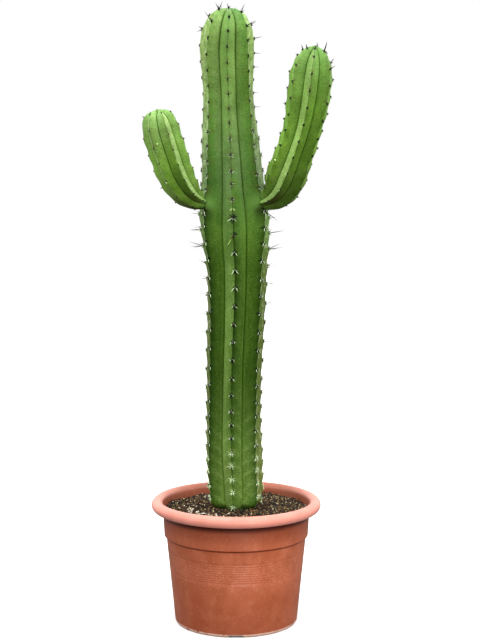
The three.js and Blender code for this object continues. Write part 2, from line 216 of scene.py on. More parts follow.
# The skin's tone on the ribs that the picture shows, at shares of the stem's length, from deep green (-1)
# to full pale bloom (1): left of the crest at the crest and by the groove, then the same right of it.
# Below zero the tone is painted shade on the flanks that the light misses, with some deeper green of the
# skin's own; above zero it is the skin's own waxy bloom together with painted light where the side and top
# lights fall.
TONE_AGES = {
    "trunk": (0.24, 0.37, 0.53, 0.62, 0.76, 0.92),
    "left_arm": (0.3, 0.8),
    "right_arm": (0.3, 0.8),
}
TONES = {
    "trunk": {
        0: ((0.0, 0.6, -0.6, 0.0), (-0.35, 0.7, -0.75, -0.2), (0.7, 0.9, -1.1, -0.2),
            (0.25, 0.35, -0.8, 0.0), (0.2, 0.25, 0.2, 0.35), (0.05, 0.15, 0.1, 0.25)),
        1: ((-0.9, 0.1, 0.15, 0.1), (-0.95, -0.3, 0.65, 0.45), (-1.0, -0.08, 0.65, 0.4),
            (-0.9, 0.0, 0.7, 0.6), (-0.4, 0.15, 0.8, 0.8), (-0.1, 0.15, 0.6, 0.6)),
        2: ((0.1, 0.3, 0.1, 0.25), (0.1, 0.3, 0.1, 0.25), (0.1, 0.3, 0.1, 0.25),
            (0.0, 0.1, 0.1, 0.25), (0.65, 0.6, 0.1, 0.25), (0.4, 0.4, 0.1, 0.25)),
        5: ((0.1, 0.25, 0.1, 0.3), (0.1, 0.25, 0.1, 0.3), (0.1, 0.25, 0.1, 0.3),
            (0.1, 0.25, -0.1, 0.1), (0.1, 0.25, 0.55, 0.5), (0.1, 0.25, 0.4, 0.4)),
        6: ((0.3, 0.2, -0.9, -0.2), (0.4, 0.3, -1.1, -0.3), (0.2, 0.1, -1.2, -0.2),
            (0.5, 0.4, -1.0, 0.0), (0.8, 0.8, -0.4, 0.2), (0.6, 0.6, 0.15, 0.35)),
    },
    "left_arm": {
        0: ((-0.3, -0.5, 1.0, 1.0), (0.2, 0.3, 1.0, 1.0)),
        6: ((0.4, 0.3, -0.1, -0.2), (0.7, 0.6, 0.3, 0.4)),
    },
    "right_arm": {
        0: ((0.5, 0.8, -0.5, -0.3), (0.4, 0.4, -0.1, 0.1)),
        1: ((-0.7, -0.4, 0.5, 0.5), (-0.2, 0.0, 0.3, 0.3)),
        6: ((1.0, 1.0, -0.2, 0.1), (0.9, 0.9, 0.1, 0.2)),
    },
}
HIDDEN_TONES = (0.1, 0.25, 0.1, 0.25)
SIDE_RIBS = (2, 5)
# Painted light on each arm's root where it meets the trunk: its spots and how far it reaches
ARM_ROOT_LIGHT_SPOTS = ((-50, -38, 766), (38, -40, 770))
ARM_ROOT_LIGHT_REACH = 15.0
# Painted shadow under the root of each arm: its spots and how far it reaches
ARM_ROOT_SHADOW_SPOTS = ((-53, -37, 750), (42, -39, 753))
ARM_ROOT_SHADOW_REACH = 9.0

# Areoles along the crests. Where a rib's are seen, they are given by the picture's row, from the top down
SEEN_AREOLES = {
    0: (7, 17.3, 30.7, 46, 62, 79, 94, 108.6, 122.7, 138.5, 155, 171.6, 184, 199.8, 217.4, 235, 253.5,
        271.3, 289, 307, 325, 342.7, 360.7, 379.6, 396, 412, 425.5, 438.7, 454, 466, 480, 493, 507.6),
    1: (12.4, 26, 40.5, 56, 71, 86, 101, 116, 131, 145, 160, 174.5, 188, 211, 229, 244, 261.5, 280, 297,
        314.5, 333, 351, 370, 386.5, 403, 416, 431, 445, 458, 469.5, 483, 496.5),
    2: (25, 39, 53.5, 67, 80, 93, 107, 122, 138, 155, 170, 186, 202, 218, 233, 249, 266, 284, 303, 322,
        341, 360, 378, 392, 406, 420, 434, 448, 460, 473, 486, 499),
    5: (16, 30, 46, 62, 78, 94, 110, 126, 141, 156, 170, 184, 198, 214, 230, 246, 263, 279, 294, 314,
        332, 350, 369, 387, 403, 418, 432, 446, 459, 472, 485, 498),
    6: (9.9, 21.8, 38, 54.5, 70.5, 86, 102, 117, 132, 147, 162, 176, 189.5, 212, 226, 243, 260, 278, 295,
        312, 330, 349, 368, 385, 401, 416, 431, 445, 458, 471, 485, 498),
}

# How far out those ribs' crests are, the turn in degrees from one to the next, and the picture's rows
# over which the crests close in to the tip
SEEN_CREST = 53
SEEN_RIB_TURN = 54
TIP_ROW = -8
ROUND_TIP_ROWS = 40

# Areoles that aren't seen, by height on the trunk and by distance along an arm, and the crowns' reach
FIRST_AREOLE = 221.0
AREOLE_SPACING = [
    (221, 24), (390, 25), (430, 31.5), (735, 31.5), (790, 26.5), (900, 26.5),
    (1050, 28), (1085, 17), (1110, 14),
]
ARM_AREOLE_SPACING = 28.0
AREOLE_STAGGER = 0.4
BARE_TIP = 2.5
TRUNK_CROWN = 9.0
ARM_CROWN = 16.0
SPINE_SEED = 20

# The zones of the trunk by height, and how far up the high arm its spines are strong
STARS_BELOW = 330.0
CLEAR_MARKS_FROM = 600.0
FAINT_FROM = 770.0
YOUNG_FROM = 905.0
TOP_TUFTS_FROM = 1050.0
STRONG_FROM = 0.4

# Half the width, height and depth of the areoles' cushions
TRUNK_PAD = np.array([1.6, 2.2, 1.0])
YOUNG_PAD = np.array([1.4, 3.0, 1.1])
ARM_PAD = np.array([0.9, 1.4, 0.7])
STRONG_PAD = 1.5 * ARM_PAD
PAD_RINGS = 5
PAD_COLUMNS = 9
PAD_UNEVEN = 0.12

# What grows on an areole. A fan has its kind of spine, its angles from up along the rib and their stray,
# then how far its spines stand off the skin and how long they are, each with its stray, and half their
# width. The spine that stands out has its kind, its chance, its rise, turn and length, and half its width
YOUNG_ANGLES = (20, 70, 125, 160, 200, 235, 290, 340)
ARM_ANGLES = (35, 95, 150, 210, 265, 325)
FANS = {
    "star": [("pale", (0, 52, 105, 148, 212, 255, 308), 9, (0.25, 0.08), (7.4, 0.8), 0.5)],
    "faint": [
        ("pale", (75, 130, 160, 200, 230, 285), 12, (0.35, 0.1), (6.2, 1.2), 0.4),
        ("dark", (0, 30, 60, 105, 145, 180, 215, 255, 300, 330), 8, (0.35, 0.1), (4.8, 0.8), 0.65),
    ],
    "young": [("dark", YOUNG_ANGLES, 12, (0.6, 0.15), (3.0, 0.6), 0.55)],
    "top": [("dark", YOUNG_ANGLES, 12, (0.6, 0.15), (4.6, 0.6), 0.7)],
    "arm": [("dark", ARM_ANGLES, 14, (0.7, 0.2), (2.3, 0.4), 0.6)],
    "strong": [("dark", ARM_ANGLES, 14, (0.7, 0.2), (3.6, 0.4), 0.8)],
}
STANDING = {
    "star": ("long", 0.5, (0, 0.4), 0.4, (15, 4), 0.55),
    "mark": ("long", 0.6, (0.04, 0.16), 0.2, (17, 4), 0.6),
    "faint": ("long", 0.35, (0, 0.2), 0.2, (9, 2), 0.45),
    "top": ("dark", 0.8, (0.3, 0.3), 0.3, (10, 2.5), 0.7),
    "arm": ("dark", 0.25, (0.1, 0.3), 0.3, (5, 1), 0.55),
    "strong": ("dark", 0.25, (0.1, 0.3), 0.3, (5, 1), 0.55),
}
MARK_RISE = 2.8
MARK_LEG = (1.7, -1.6)
CLEAR_LEG = {"length": (7.4, 0.6), "width": 0.8, "knot": 0.8}
THIN_LEG = {"length": (5.6, 1.3), "width": 0.58, "knot": 0.6}

# Spines that the picture shows one by one: an areole's pixel, then each tip's pixel with half the width.
# The areoles of the front rib at these heights carry no others
SHOWN_WHOLE = (710.8, 741.7)
SHOWN_SPINES = {
    "dark": (
        ((218.8, 9.9), (215, 3.2, 0.95), (221.6, 2.2, 1.0)),
        ((231.2, 7), (229.6, 1.8, 1.0), (232.6, 4.5, 0.8)),
        ((241.5, 12.4), (244.2, 3.8, 1.0), (245.5, 9.5, 0.8)),
        ((211.3, 21.8), (204.3, 12.8, 0.95)),
        ((246.5, 26), (255.5, 20.2, 0.95)),
        ((201, 30), (195, 32.8, 0.7), (201.4, 27.5, 0.9)),
        ((254, 39), (262.5, 36.8, 0.7)),
        ((254.5, 53.5), (261.5, 53.3, 0.6)),
        ((304, 50), (302.6, 44.2, 1.1)),
        ((309, 48), (307.4, 43.2, 1.1)),
        ((313, 47), (314.6, 42.6, 1.1)),
        ((320.5, 48), (319, 40.6, 1.2)),
        ((324, 50), (327.6, 40, 1.3)),
        ((331, 59), (334.6, 54, 0.9)),
        ((329, 67), (334.5, 63.5, 0.9)),
        ((154, 110), (154.3, 105.6, 0.8)),
        ((204, 212), (201.5, 219.5, 0.9), (204.5, 221, 0.9)),
        ((261, 211), (273.5, 219.5, 0.8), (266, 217.5, 0.8)),
        ((233, 217.4), (227, 218.2, 1.1), (229.4, 222.6, 1.0), (231.2, 223.6, 0.9), (234.6, 223.4, 1.1),
         (238.2, 219.8, 1.1), (238, 215.6, 1.1), (236, 213, 1.1), (229.4, 213.4, 1.1)),
    ),
    "pale": (
        ((204, 212), (205.8, 216.5, 0.9), (200.5, 214.5, 0.8)),
        ((261, 211), (263, 216.5, 0.8)),
        ((233, 217.4), (227.6, 220.8, 0.9), (232.2, 222.2, 1.0), (236.4, 221.4, 0.6)),
        ((233, 507), (229.8, 513.5, 0.9)),
    ),
    "fresh": (((234, 235), (227, 246, 1.25)),),
    "long": (
        ((267, 233), (283, 230.5, 0.8)),
        ((267, 249), (281.5, 248, 0.8), (278.5, 242.5, 0.7)),
        ((267, 266), (280.5, 265.5, 0.8), (276, 259.5, 0.7)),
        ((267, 284), (279, 282.3, 0.8)),
        ((265, 303), (273, 302, 0.75)),
        ((264, 322), (272, 321, 0.7)),
        ((202, 230), (190, 228.5, 0.75)),
        ((204, 246), (188.5, 240.8, 0.75), (190.5, 246.5, 0.8)),
        ((207, 263), (196, 258.5, 0.75), (196.5, 263.5, 0.75)),
        ((209, 279), (197.5, 275.5, 0.75), (198.5, 279.5, 0.75)),
        ((209, 294), (200.5, 292.5, 0.75)),
        ((208, 296), (201.5, 298, 0.6)),
        ((208, 314), (201, 313.5, 0.7)),
        ((253, 67), (259.5, 67.5, 0.5)),
        ((252.5, 93), (258.5, 92.4, 0.5)),
        ((253, 107), (261, 106.6, 0.55)),
        ((263, 473), (270, 471.8, 0.5)),
    ),
}

# Small yellow specks on the arms, by the pixels that show them, with half their width, height and depth
SPECK_PIXELS = ((157.5, 144.5), (166.5, 183), (287, 147.5), (275, 160))
SPECK_SIZE = np.array([1.7, 1.9, 0.8])

# The bud above one areole, in its pixel, and its scales: place across and up, half width, length
BUD_PIXEL = (232.5, 217.4)
BUD_LIFT = 12.5
BUD_SCALES = (
    (-2.8, -0.8, 1.4, 4.8), (2.8, -0.8, 1.4, 4.8), (-1.2, 1.8, 0.9, 3.2), (1.2, 1.8, 0.9, 3.2),
)
BUD_GIRTH = np.array([0.7, 1.0, 0.95, 0.75, 0.45, 0.1])
BUD_SIDES = 8

# Colours along a stem or a spine, or from the lowest value of a noise to the highest:
# the share of the way, then red, green and blue from 0 to 255
TRUNK_GREENS = (
    (0.19, 76, 102, 40), (0.24, 88, 112, 50), (0.32, 82, 110, 40), (0.42, 68, 98, 20), (0.58, 73, 107, 20),
    (0.65, 90, 134, 44), (0.73, 80, 126, 54), (0.82, 100, 147, 60), (0.9, 104, 150, 58),
    (0.97, 94, 142, 62), (1.0, 86, 138, 70),
)
ARM_GREENS = (
    (0.0, 136, 172, 76), (0.14, 106, 138, 44), (0.35, 118, 162, 50), (0.65, 130, 182, 60),
    (0.88, 124, 172, 78), (1.0, 126, 172, 94),
)
# Pale colours of the bloom, made pale enough to stand for painted light on the flanks that the lights graze
TRUNK_BLOOM_AND_LIGHT = (
    (0.2, 122, 146, 86), (0.5, 134, 168, 84), (0.64, 134, 168, 98), (0.74, 210, 224, 186),
    (0.95, 228, 246, 160),
)
ARM_BLOOM_AND_LIGHT = ((0.2, 176, 204, 136), (0.9, 190, 218, 142))
SPINE_COLOURS = {
    "pale": ((0.0, 204, 236, 168), (0.2, 224, 252, 194), (1.0, 234, 254, 208)),
    "long": ((0.0, 60, 54, 52), (0.3, 116, 110, 112), (1.0, 175, 168, 176)),
    "dark": ((0.0, 4, 9, 2), (0.8, 14, 22, 9), (1.0, 60, 64, 50)),
    "fresh": ((0.0, 22, 14, 4), (0.3, 70, 62, 20), (0.5, 150, 190, 76), (1.0, 204, 244, 146)),
}
FELT_COLOURS = ((0.3, 7, 14, 3), (0.55, 24, 32, 10), (0.8, 64, 74, 42))
BUD_COLOURS = ((0.3, 206, 246, 136), (0.7, 232, 255, 178))
EARTHS = {
    "mix_dark": ((0.0, 6, 4, 1), (0.4, 22, 12, 4), (0.7, 70, 45, 20), (1.0, 134, 102, 58)),
    "mix_pale": ((0.0, 98, 80, 42), (0.5, 156, 136, 88), (0.8, 204, 186, 142), (1.0, 240, 234, 214)),
    "mix_white": ((0.0, 170, 158, 138), (0.5, 212, 204, 190), (1.0, 246, 243, 236)),
}
FLOOR_COLOURS = ((0.3, 236, 236, 236), (0.7, 242, 242, 242))

# The skin's mottle, from blotches down to specks: the noise's grains to the metre, its detail and its
# stretch upwards, the values between which it shows, how strong it is, and its colour
SKIN_MOTTLE = (
    (26, 4, 1, (0.35, 0.65), 0.4, (52, 88, 16)),
    (160, 3, 0.12, (0.35, 0.75), 0.2, (124, 164, 62)),
    (380, 2, 1, (0.48, 0.64), 0.36, (36, 72, 10)),
    (330, 2, 1, (0.52, 0.68), 0.28, (140, 176, 84)),
    (900, 1, 1, (0.6, 0.72), 0.4, (150, 180, 96)),
)

# Bands of the pot's colour by height, in metres: where each starts and is full, then where it ends and
# is still full
DASH_BAND = ((0.07, 0.1), (0.156, 0.13))
# Painted shadow of the rim on the collar
COLLAR_SHADOW_BAND = ((0.162, 0.19), (0.2055, 0.2045))
# Painted shade in the crease under the rim
UNDER_RIM_SHADOW_BAND = ((0.19, 0.201), (0.2055, 0.2045))
# Painted shadow under the collar's step
STEP_SHADOW_BAND = ((0.1574, 0.1586), (0.1621, 0.1609))
FOOT_BAND = ((0.0062, 0.0042), (0.0004, 0.0016))
# Where the blotches that darken the wall towards the bottom fade out
LOW_BLOTCHES_FROM = (0.1, 0.03)
# Painted shade on the inner wall above the mix
INNER_WALL_SHADE = {"out": (0.1317, 0.1305), "height": (0.17, 0.18)}
# The rim by distance out and by height; its back half takes painted shade
RIM = {"out": (0.1335, 0.1365), "height": (0.2035, 0.207), "back": (0.02, 0.12)}


# Curves and directions

UP = np.array([0.0, 0.0, 1.0])
FRONT = np.array([0.0, -1.0, 0.0])
RIGHT = np.array([1.0, 0.0, 0.0])


def unit(vectors):
    return vectors / np.linalg.norm(vectors, axis=-1, keepdims=True)


def smoothstep(value, low, high):
    part = np.clip((value - low) / (high - low), 0, 1)
    return part * part * (3 - 2 * part)


def hermite(start, end, leave, arrive, part):
    """The way from start to end, leaving and arriving with the given slopes."""
    square = part**2
    cube = part**3
    return (
        start * (2 * cube - 3 * square + 1)
        + end * (3 * square - 2 * cube)
        + leave * (cube - 2 * square + part)
        + arrive * (cube - square)
    )


def along(pairs, place):
    """The value at each place on a smooth line through (place, value) pairs, level past its ends."""
    knots, values = np.array(pairs, float).T
    slopes = np.diff(values) / np.diff(knots)
    left = np.append(0, slopes)
    right = np.append(slopes, 0)
    agree = left * right > 0
    slope = np.where(agree, 2 * left * right / np.where(agree, left + right, 1), 0)
    place = np.clip(place, knots[0], knots[-1])
    after = np.clip(np.searchsorted(knots, place), 1, len(knots) - 1)
    before = after - 1
    span = knots[after] - knots[before]
    part = (place - knots[before]) / span
    return hermite(values[before], values[after], span * slope[before], span * slope[after], part)


def centripetal_curve(points, steps=60):
    """Points and directions on a centripetal Catmull-Rom curve, and the distance along it to each."""
    points = np.array(points, float)
    padded = np.vstack([2 * points[0] - points[1], points, 2 * points[-1] - points[-2]])
    spots = []
    part = np.linspace(0, 1, steps, endpoint=False)[:, None]
    for p0, p1, p2, p3 in zip(padded, padded[1:], padded[2:], padded[3:]):
        d0, d1, d2 = [math.sqrt(np.linalg.norm(b - a)) for a, b in ((p0, p1), (p1, p2), (p2, p3))]
        leave = ((p1 - p0) / d0 - (p2 - p0) / (d0 + d1) + (p2 - p1) / d1) * d1
        arrive = ((p2 - p1) / d1 - (p3 - p1) / (d1 + d2) + (p3 - p2) / d2) * d1
        spots.append(hermite(p1, p2, leave, arrive, part))
    spots = np.vstack([*spots, points[-1:]])
    distance = np.append(0, np.cumsum(np.linalg.norm(np.diff(spots, axis=0), axis=1)))
    return spots, unit(np.gradient(spots, distance, axis=0)), distance


# Stems


def wander(place, seed):
    """How far each crest strays from its even line, in degrees."""
    rib = np.arange(RIB_COUNT) * 2.1 + seed
    place = np.asarray(place)[..., None]
    return RIB_WANDER * (np.sin(place / 47 + rib) + 0.5 * np.sin(place / 19 + 1.7 * rib))


def trunk_crests(z):
    """The trunk's crests by azimuth: the front three as seen, the rest about evenly round the back."""
    front = along(TRUNK_TURN, z)
    right = front + along(RIGHT_GAP, z)
    left = front + 360 - along(LEFT_GAP, z)
    second = right + EVEN_GAP
    fifth = left - EVEN_GAP
    step = (fifth - second) / 3
    crests = [front, right, second, second + step, second + 2 * step, fifth, left]
    return np.stack(crests, axis=-1) + wander(z, TRUNK_WANDER)


def trunk_frame(z):
    centre = np.stack([along(TRUNK_AXIS_X, z), 0 * z, z], axis=-1)
    return [np.broadcast_to(v, centre.shape) for v in (centre, UP, FRONT, RIGHT)]


def seen_height(row, depth):
    """The height of a spot in the picture's row that lies depth millimetres in front of the pot's axis."""
    away = -CAMERA_PLACE[1] / METRES - depth
    slope = math.atan((PICTURE_HEIGHT / 2 - row) / PICTURE_FOCUS) - math.radians(CAMERA_DOWN)
    return CAMERA_PLACE[2] / METRES + away * math.tan(slope)


def seen_areoles(rib):
    """The heights of the areoles of one rib of the trunk, from the lowest up."""
    depth = SEEN_CREST * math.cos(math.radians(SEEN_RIB_TURN * min(rib, RIB_COUNT - rib)))
    heights = [
        seen_height(row, depth * min(1, (row - TIP_ROW) / ROUND_TIP_ROWS))
        for row in SEEN_AREOLES[rib]
    ]
    return np.clip(np.sort(heights), SOIL_LEVEL, TRUNK_TIP - BARE_TIP)


def make_trunk():
    return SimpleNamespace(
        name="trunk",
        seen={rib: seen_areoles(rib) for rib in SEEN_AREOLES},
        first=SOIL_LEVEL + CLEARANCE,
        last=TRUNK_TIP,
        crests=trunk_crests,
        groove=lambda z: along(GROOVE_RATIO, z),
        radius=lambda z: along(TRUNK_RADIUS, z),
        frame=trunk_frame,
        row_step=TRUNK_ROW_STEP,
        areoles_from=FIRST_AREOLE,
        spacing=lambda z: float(along(AREOLE_SPACING, np.array(z))),
        crown=TRUNK_CROWN,
        age=lambda z: z / TRUNK_TIP,
    )


def make_arm(name, shape):
    spots, directions, distances = centripetal_curve(shape["axis"])
    length = shape["radius"][-1][0]
    ribs = np.array(shape["ribs"], float)

    def arm_frame(distance):
        at = np.clip(distance / length, 0, 1) * distances[-1]
        centre, tangent = [
            np.stack([np.interp(at, distances, line[:, i]) for i in range(3)], axis=-1)
            for line in (spots, directions)
        ]
        tangent = unit(tangent)
        front = unit(FRONT + tangent * tangent[..., 1:2])
        return centre, tangent, front, np.cross(tangent, front)

    return SimpleNamespace(
        name=name,
        seen={},
        first=0.0,
        last=float(length),
        crests=lambda distance: ribs + wander(distance, shape["wander"]),
        groove=lambda distance: shape["groove"] + 0 * distance,
        radius=lambda distance: along(shape["radius"], distance),
        frame=arm_frame,
        row_step=ARM_ROW_STEP,
        areoles_from=shape["first_areole"],
        spacing=lambda distance: ARM_AREOLE_SPACING,
        crown=ARM_CROWN,
        age=lambda distance: distance / length,
    )


def areole_places(stem, rib):
    """Where the areoles of a rib are, each rib a little out of step with the one before."""
    if rib in stem.seen:
        return stem.seen[rib]
    place = stem.areoles_from + stem.spacing(stem.areoles_from) * ((rib * AREOLE_STAGGER) % 1)
    places = []
    while place < stem.last - stem.crown:
        places.append(place)
        place += stem.spacing(place)
    return np.array([*places, stem.last - stem.crown * (0.45 + 0.1 * (rib % 3))])


def areole_phase(stem, rib, place):
    """0 at each areole of a rib, rising to 1 at the next one up."""
    places = areole_places(stem, rib)
    first = places[0] - stem.spacing(places[0])
    last = places[-1] + stem.spacing(places[-1])
    past, past_count = 400, 16
    knots = [first - past, first, *places, last, last + past]
    counts = [-past_count, *range(-1, len(places) + 1), len(places) + past_count]
    return np.interp(place, knots, counts) % 1


def flank_ratio(part, half_gap, groove):
    """How far out the surface lies, as a share of the crest radius, from crest (0) to groove (1)."""
    reach = np.radians(half_gap)
    angle = part * reach
    straight = (groove * np.sin(reach)) / (np.sin(angle) + groove * np.sin(reach - angle))
    return straight + FLANK_BULGE * np.sin(np.pi * part)


def rounded(part):
    """The share of the way to the groove, slowed near the crest so that the crest is round."""
    soft = np.sqrt(part**2 + CREST_ROUNDING**2) - CREST_ROUNDING
    return soft / (math.sqrt(1 + CREST_ROUNDING**2) - CREST_ROUNDING)


def swelling(stem, rib, place, to_groove):
    """The low chin under each areole and the notch above it, in millimetres, fading down the flank."""
    phase = areole_phase(stem, rib, place)
    fade = np.exp(-((to_groove / CRENATION_REACH) ** 2))
    slim = np.clip(stem.radius(place) / FULL_CRENATION_RADIUS, 0, 1)
    if stem.name == "trunk":
        slim = slim * (1 - 0.6 * smoothstep(place, *SMOOTH_FROM))
    return CRENATION * slim * fade * (0.6 * np.cos(2 * np.pi * (phase + 0.16)) - 0.3)


def stem_rows(stem):
    """Places of the rows along a stem, closing up towards the rounded tip."""
    tip = TIP_REACH * (1 - np.sin(np.linspace(0, np.pi / 2, TIP_ROWS)))
    count = int((stem.last - TIP_REACH - stem.first) / stem.row_step)
    even = np.linspace(stem.first, stem.last - TIP_REACH, count, endpoint=False)
    return np.concatenate([even, stem.last - tip[:-1]])


def stem_columns(stem, places):
    """For each column: its rib and its share of the way from that rib's crest to the next. Then the gap
    between the two crests and the column's azimuth, a row for each place."""
    half = np.array(HALF_FLANK) / 2
    flank = np.concatenate([half, [0.5], 1 - half[:0:-1]])
    ribs = np.repeat(np.arange(RIB_COUNT), len(flank))
    parts = np.tile(flank, RIB_COUNT)
    crests = stem.crests(places)
    gaps = np.roll(crests, -1, axis=1) - crests
    gaps[:, -1] += 360
    gap = gaps[:, ribs]
    return ribs, parts, gap, crests[:, ribs] + gap * parts


def stem_surface(stem, places):
    """Points of a stem's skin, a row for each place, and what the skin's colour needs at each."""
    ribs, parts, gap, azimuth = stem_columns(stem, places)
    to_groove = np.broadcast_to(1 - np.abs(1 - 2 * parts), azimuth.shape)
    shallow = np.minimum(gap / FULL_GROOVE_GAP, 1)
    depth = (1 - stem.groove(places))[:, None] * shallow
    crest_radius = stem.radius(places)[:, None]
    radius = crest_radius * flank_ratio(rounded(to_groove), gap / 2, 1 - depth)
    slim = np.clip(crest_radius / FULL_CRENATION_RADIUS, 0, 1)
    radius -= CREASE_DEPTH * slim * shallow * np.exp(-(((1 - to_groove) / CREASE_WIDTH) ** 2))
    owner = np.where(parts < 0.5, ribs, (ribs + 1) % RIB_COUNT)
    phase = np.empty(azimuth.shape)
    for rib in range(RIB_COUNT):
        mine = owner == rib
        radius[:, mine] += swelling(stem, rib, places[:, None], to_groove[:, mine])
        phase[:, mine] = areole_phase(stem, rib, places)[:, None]
    centre, tangent, front, right = stem.frame(places)
    turn = np.radians(azimuth)[..., None]
    points = centre[:, None] + radius[..., None] * (
        np.cos(turn) * front[:, None] + np.sin(turn) * right[:, None]
    )
    in_crown = smoothstep(places, stem.last - TIP_REACH, stem.last)[:, None]
    points = points - (CROWN_DIP * in_crown * to_groove**1.5)[..., None] * tangent[:, None]
    return points, skin_fields(stem, points, owner, parts, to_groove, phase, places)


def skin_fields(stem, points, owner, parts, to_groove, phase, places):
    """What the skin's colour needs at each point."""
    age = np.broadcast_to(stem.age(places)[:, None], phase.shape)
    on_arm = float(stem.name != "trunk") + 0 * phase
    down = -surface_normals(points)[..., 2]
    underside = on_arm * smoothstep(down, 0.5, 0.85) * (1 - smoothstep(age, 0.12, 0.36))
    side = (1 - on_arm) * np.isin(owner, SIDE_RIBS)
    return {
        "flank": to_groove,
        "phase": phase,
        "age": age,
        "arm": on_arm,
        "flank_tone": flank_tone(stem, owner, parts, to_groove, age),
        "side": side,
        "brown": underside + 0.6 * side * (1 - smoothstep(age, 0.56, 0.68)),
        "arm_root_light": nearness(points, ARM_ROOT_LIGHT_SPOTS, ARM_ROOT_LIGHT_REACH),
        "arm_root_shadow": nearness(points, ARM_ROOT_SHADOW_SPOTS, ARM_ROOT_SHADOW_REACH),
    }


def surface_normals(points):
    """Outward directions on a grid of rings that climb."""
    around = np.roll(points, -1, axis=1) - np.roll(points, 1, axis=1)
    return unit(np.cross(around, np.gradient(points, axis=0)) + 1e-9)


def flank_tone(stem, owner, parts, to_groove, age):
    """The tone of the skin at each row and column."""
    ages = TONE_AGES[stem.name]
    tone = np.empty(age.shape)
    for rib in range(RIB_COUNT):
        given = TONES[stem.name].get(rib, [HIDDEN_TONES] * len(ages))
        values = [np.interp(age[:, :1], ages, column) for column in zip(*given)]
        for side in (0, 1):
            mine = (owner == rib) & ((parts < 0.5) == bool(side))
            crest, groove = values[2 * side : 2 * side + 2]
            tone[:, mine] = groove + (crest - groove) * (1 - to_groove[:, mine]) ** 2
    return tone


def nearness(points, spots, reach):
    """How near points are to the nearest of some spots, from 0 to 1."""
    near = [np.exp(-((np.linalg.norm(points - spot, axis=-1) / reach) ** 2)) for spot in spots]
    return np.max(near, axis=0)


def crest_spots(stem, places, rib):
    """Spots on a crest, with the directions out of it, up along the rib and across the rib."""
    azimuth = np.radians(stem.crests(places)[..., rib])[..., None]

    def on_crest(at, swell):
        centre, _, front, right = stem.frame(at)
        radius = (stem.radius(at) + swell)[..., None]
        return centre + radius * (np.cos(azimuth) * front + np.sin(azimuth) * right)

    step = 2.0
    above = on_crest(np.minimum(places + step, stem.last), 0)
    up = unit(above - on_crest(places - step, 0))
    _, _, front, right = stem.frame(places)
    across = np.cos(azimuth) * right - np.sin(azimuth) * front
    root = on_crest(places, swelling(stem, rib, places, np.zeros_like(places)))
    return root, up, unit(np.cross(across, up)), across


# Meshes


def link_mesh(name, points, faces, fields=None):
    """A new object from points in millimetres, faces, and a number for each point in each field."""
    mesh = bpy.data.meshes.new(name)
    mesh.from_pydata((np.asarray(points).reshape(-1, 3) * METRES).tolist(), [], faces)
    for key, values in (fields or {}).items():
        attribute = mesh.attributes.new(key, "FLOAT", "POINT")
        attribute.data.foreach_set("value", np.asarray(values, np.float32).ravel())
    mesh.update()
    made = bpy.data.objects.new(name, mesh)
    bpy.context.scene.collection.objects.link(made)
    return made


def grid_faces(rows, columns):
    """Quads round a grid whose columns close on themselves."""
    row, column = np.meshgrid(np.arange(rows - 1), np.arange(columns), indexing="ij")
    here = row * columns + column
    beside = row * columns + (column + 1) % columns
    return np.stack([here, beside, beside + columns, here + columns], axis=-1).reshape(-1, 4).tolist()


def capped_faces(rows, columns):
    """Quads round a grid, with one face over its last ring and one under its first."""
    last = (rows - 1) * columns
    return [*grid_faces(rows, columns), list(range(last, last + columns)), list(range(columns))[::-1]]


def repeated(pattern, size, count):
    """The faces of many copies of a shape that has so many points."""
    return [[corner + size * number for corner in face] for number in range(count) for face in pattern]


def closed_round(name, points, fields=None):
    """A round body from rings of points, closed at its first and last ring by a fan to the middle."""
    rows, columns = points.shape[:2]
    flat = np.vstack([points.reshape(-1, 3), points[0].mean(axis=0), points[-1].mean(axis=0)])
    faces = grid_faces(rows, columns)
    low, high = rows * columns, rows * columns + 1
    last = (rows - 1) * columns
    for column in range(columns):
        beside = (column + 1) % columns
        faces.append([low, beside, column])
        faces.append([high, last + column, last + beside])
    padded = {
        key: np.concatenate([np.ravel(values), [values[0].mean(), values[-1].mean()]])
        for key, values in (fields or {}).items()
    }
    return link_mesh(name, flat, faces, padded)


def rings(profile, turns):
    """Rings of points about the Z axis, one for each (radius, z) of a profile."""
    return np.array([
        np.stack([radius * np.sin(turns), -radius * np.cos(turns), z + 0 * turns], axis=-1)
        for radius, z in profile
    ])


def turned(name, profile, columns):
    """A round body about the Z axis from a profile of (radius, z) points, closed flat at both ends."""
    return closed_round(name, rings(profile, np.arange(columns) * 2 * np.pi / columns))


def carve(piece, cutter, operation):
    """Joins a cutter to a piece or takes it away, and removes the cutter."""
    modifier = piece.modifiers.new("carve", "BOOLEAN")
    modifier.operation = operation
    modifier.solver = "MANIFOLD"
    modifier.object = cutter
    evaluated = piece.evaluated_get(bpy.context.evaluated_depsgraph_get())
    mesh = bpy.data.meshes.new_from_object(evaluated)
    piece.modifiers.clear()
    piece.data = mesh
    bpy.data.objects.remove(cutter)


def finish_piece(piece, material, node=None, sharp=None):
    """Gives a piece its material, its smooth shading, its body and its place in the record."""
    piece.data.name = piece.name
    piece.data.materials.clear()
    piece.data.materials.append(material)
    piece.data.shade_smooth()
    if sharp is not None:
        piece.data.set_sharp_from_angle(angle=math.radians(sharp))
    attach(piece, "root")
    if node:
        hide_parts(node)


# Node materials


def srgb(red, green, blue):
    """A colour given as 0 to 255 on a screen, in the linear numbers that a shader takes."""
    parts = [value / 255 for value in (red, green, blue)]
    return (*[c / 12.92 if c <= 0.04045 else ((c + 0.055) / 1.055) ** 2.4 for c in parts], 1.0)


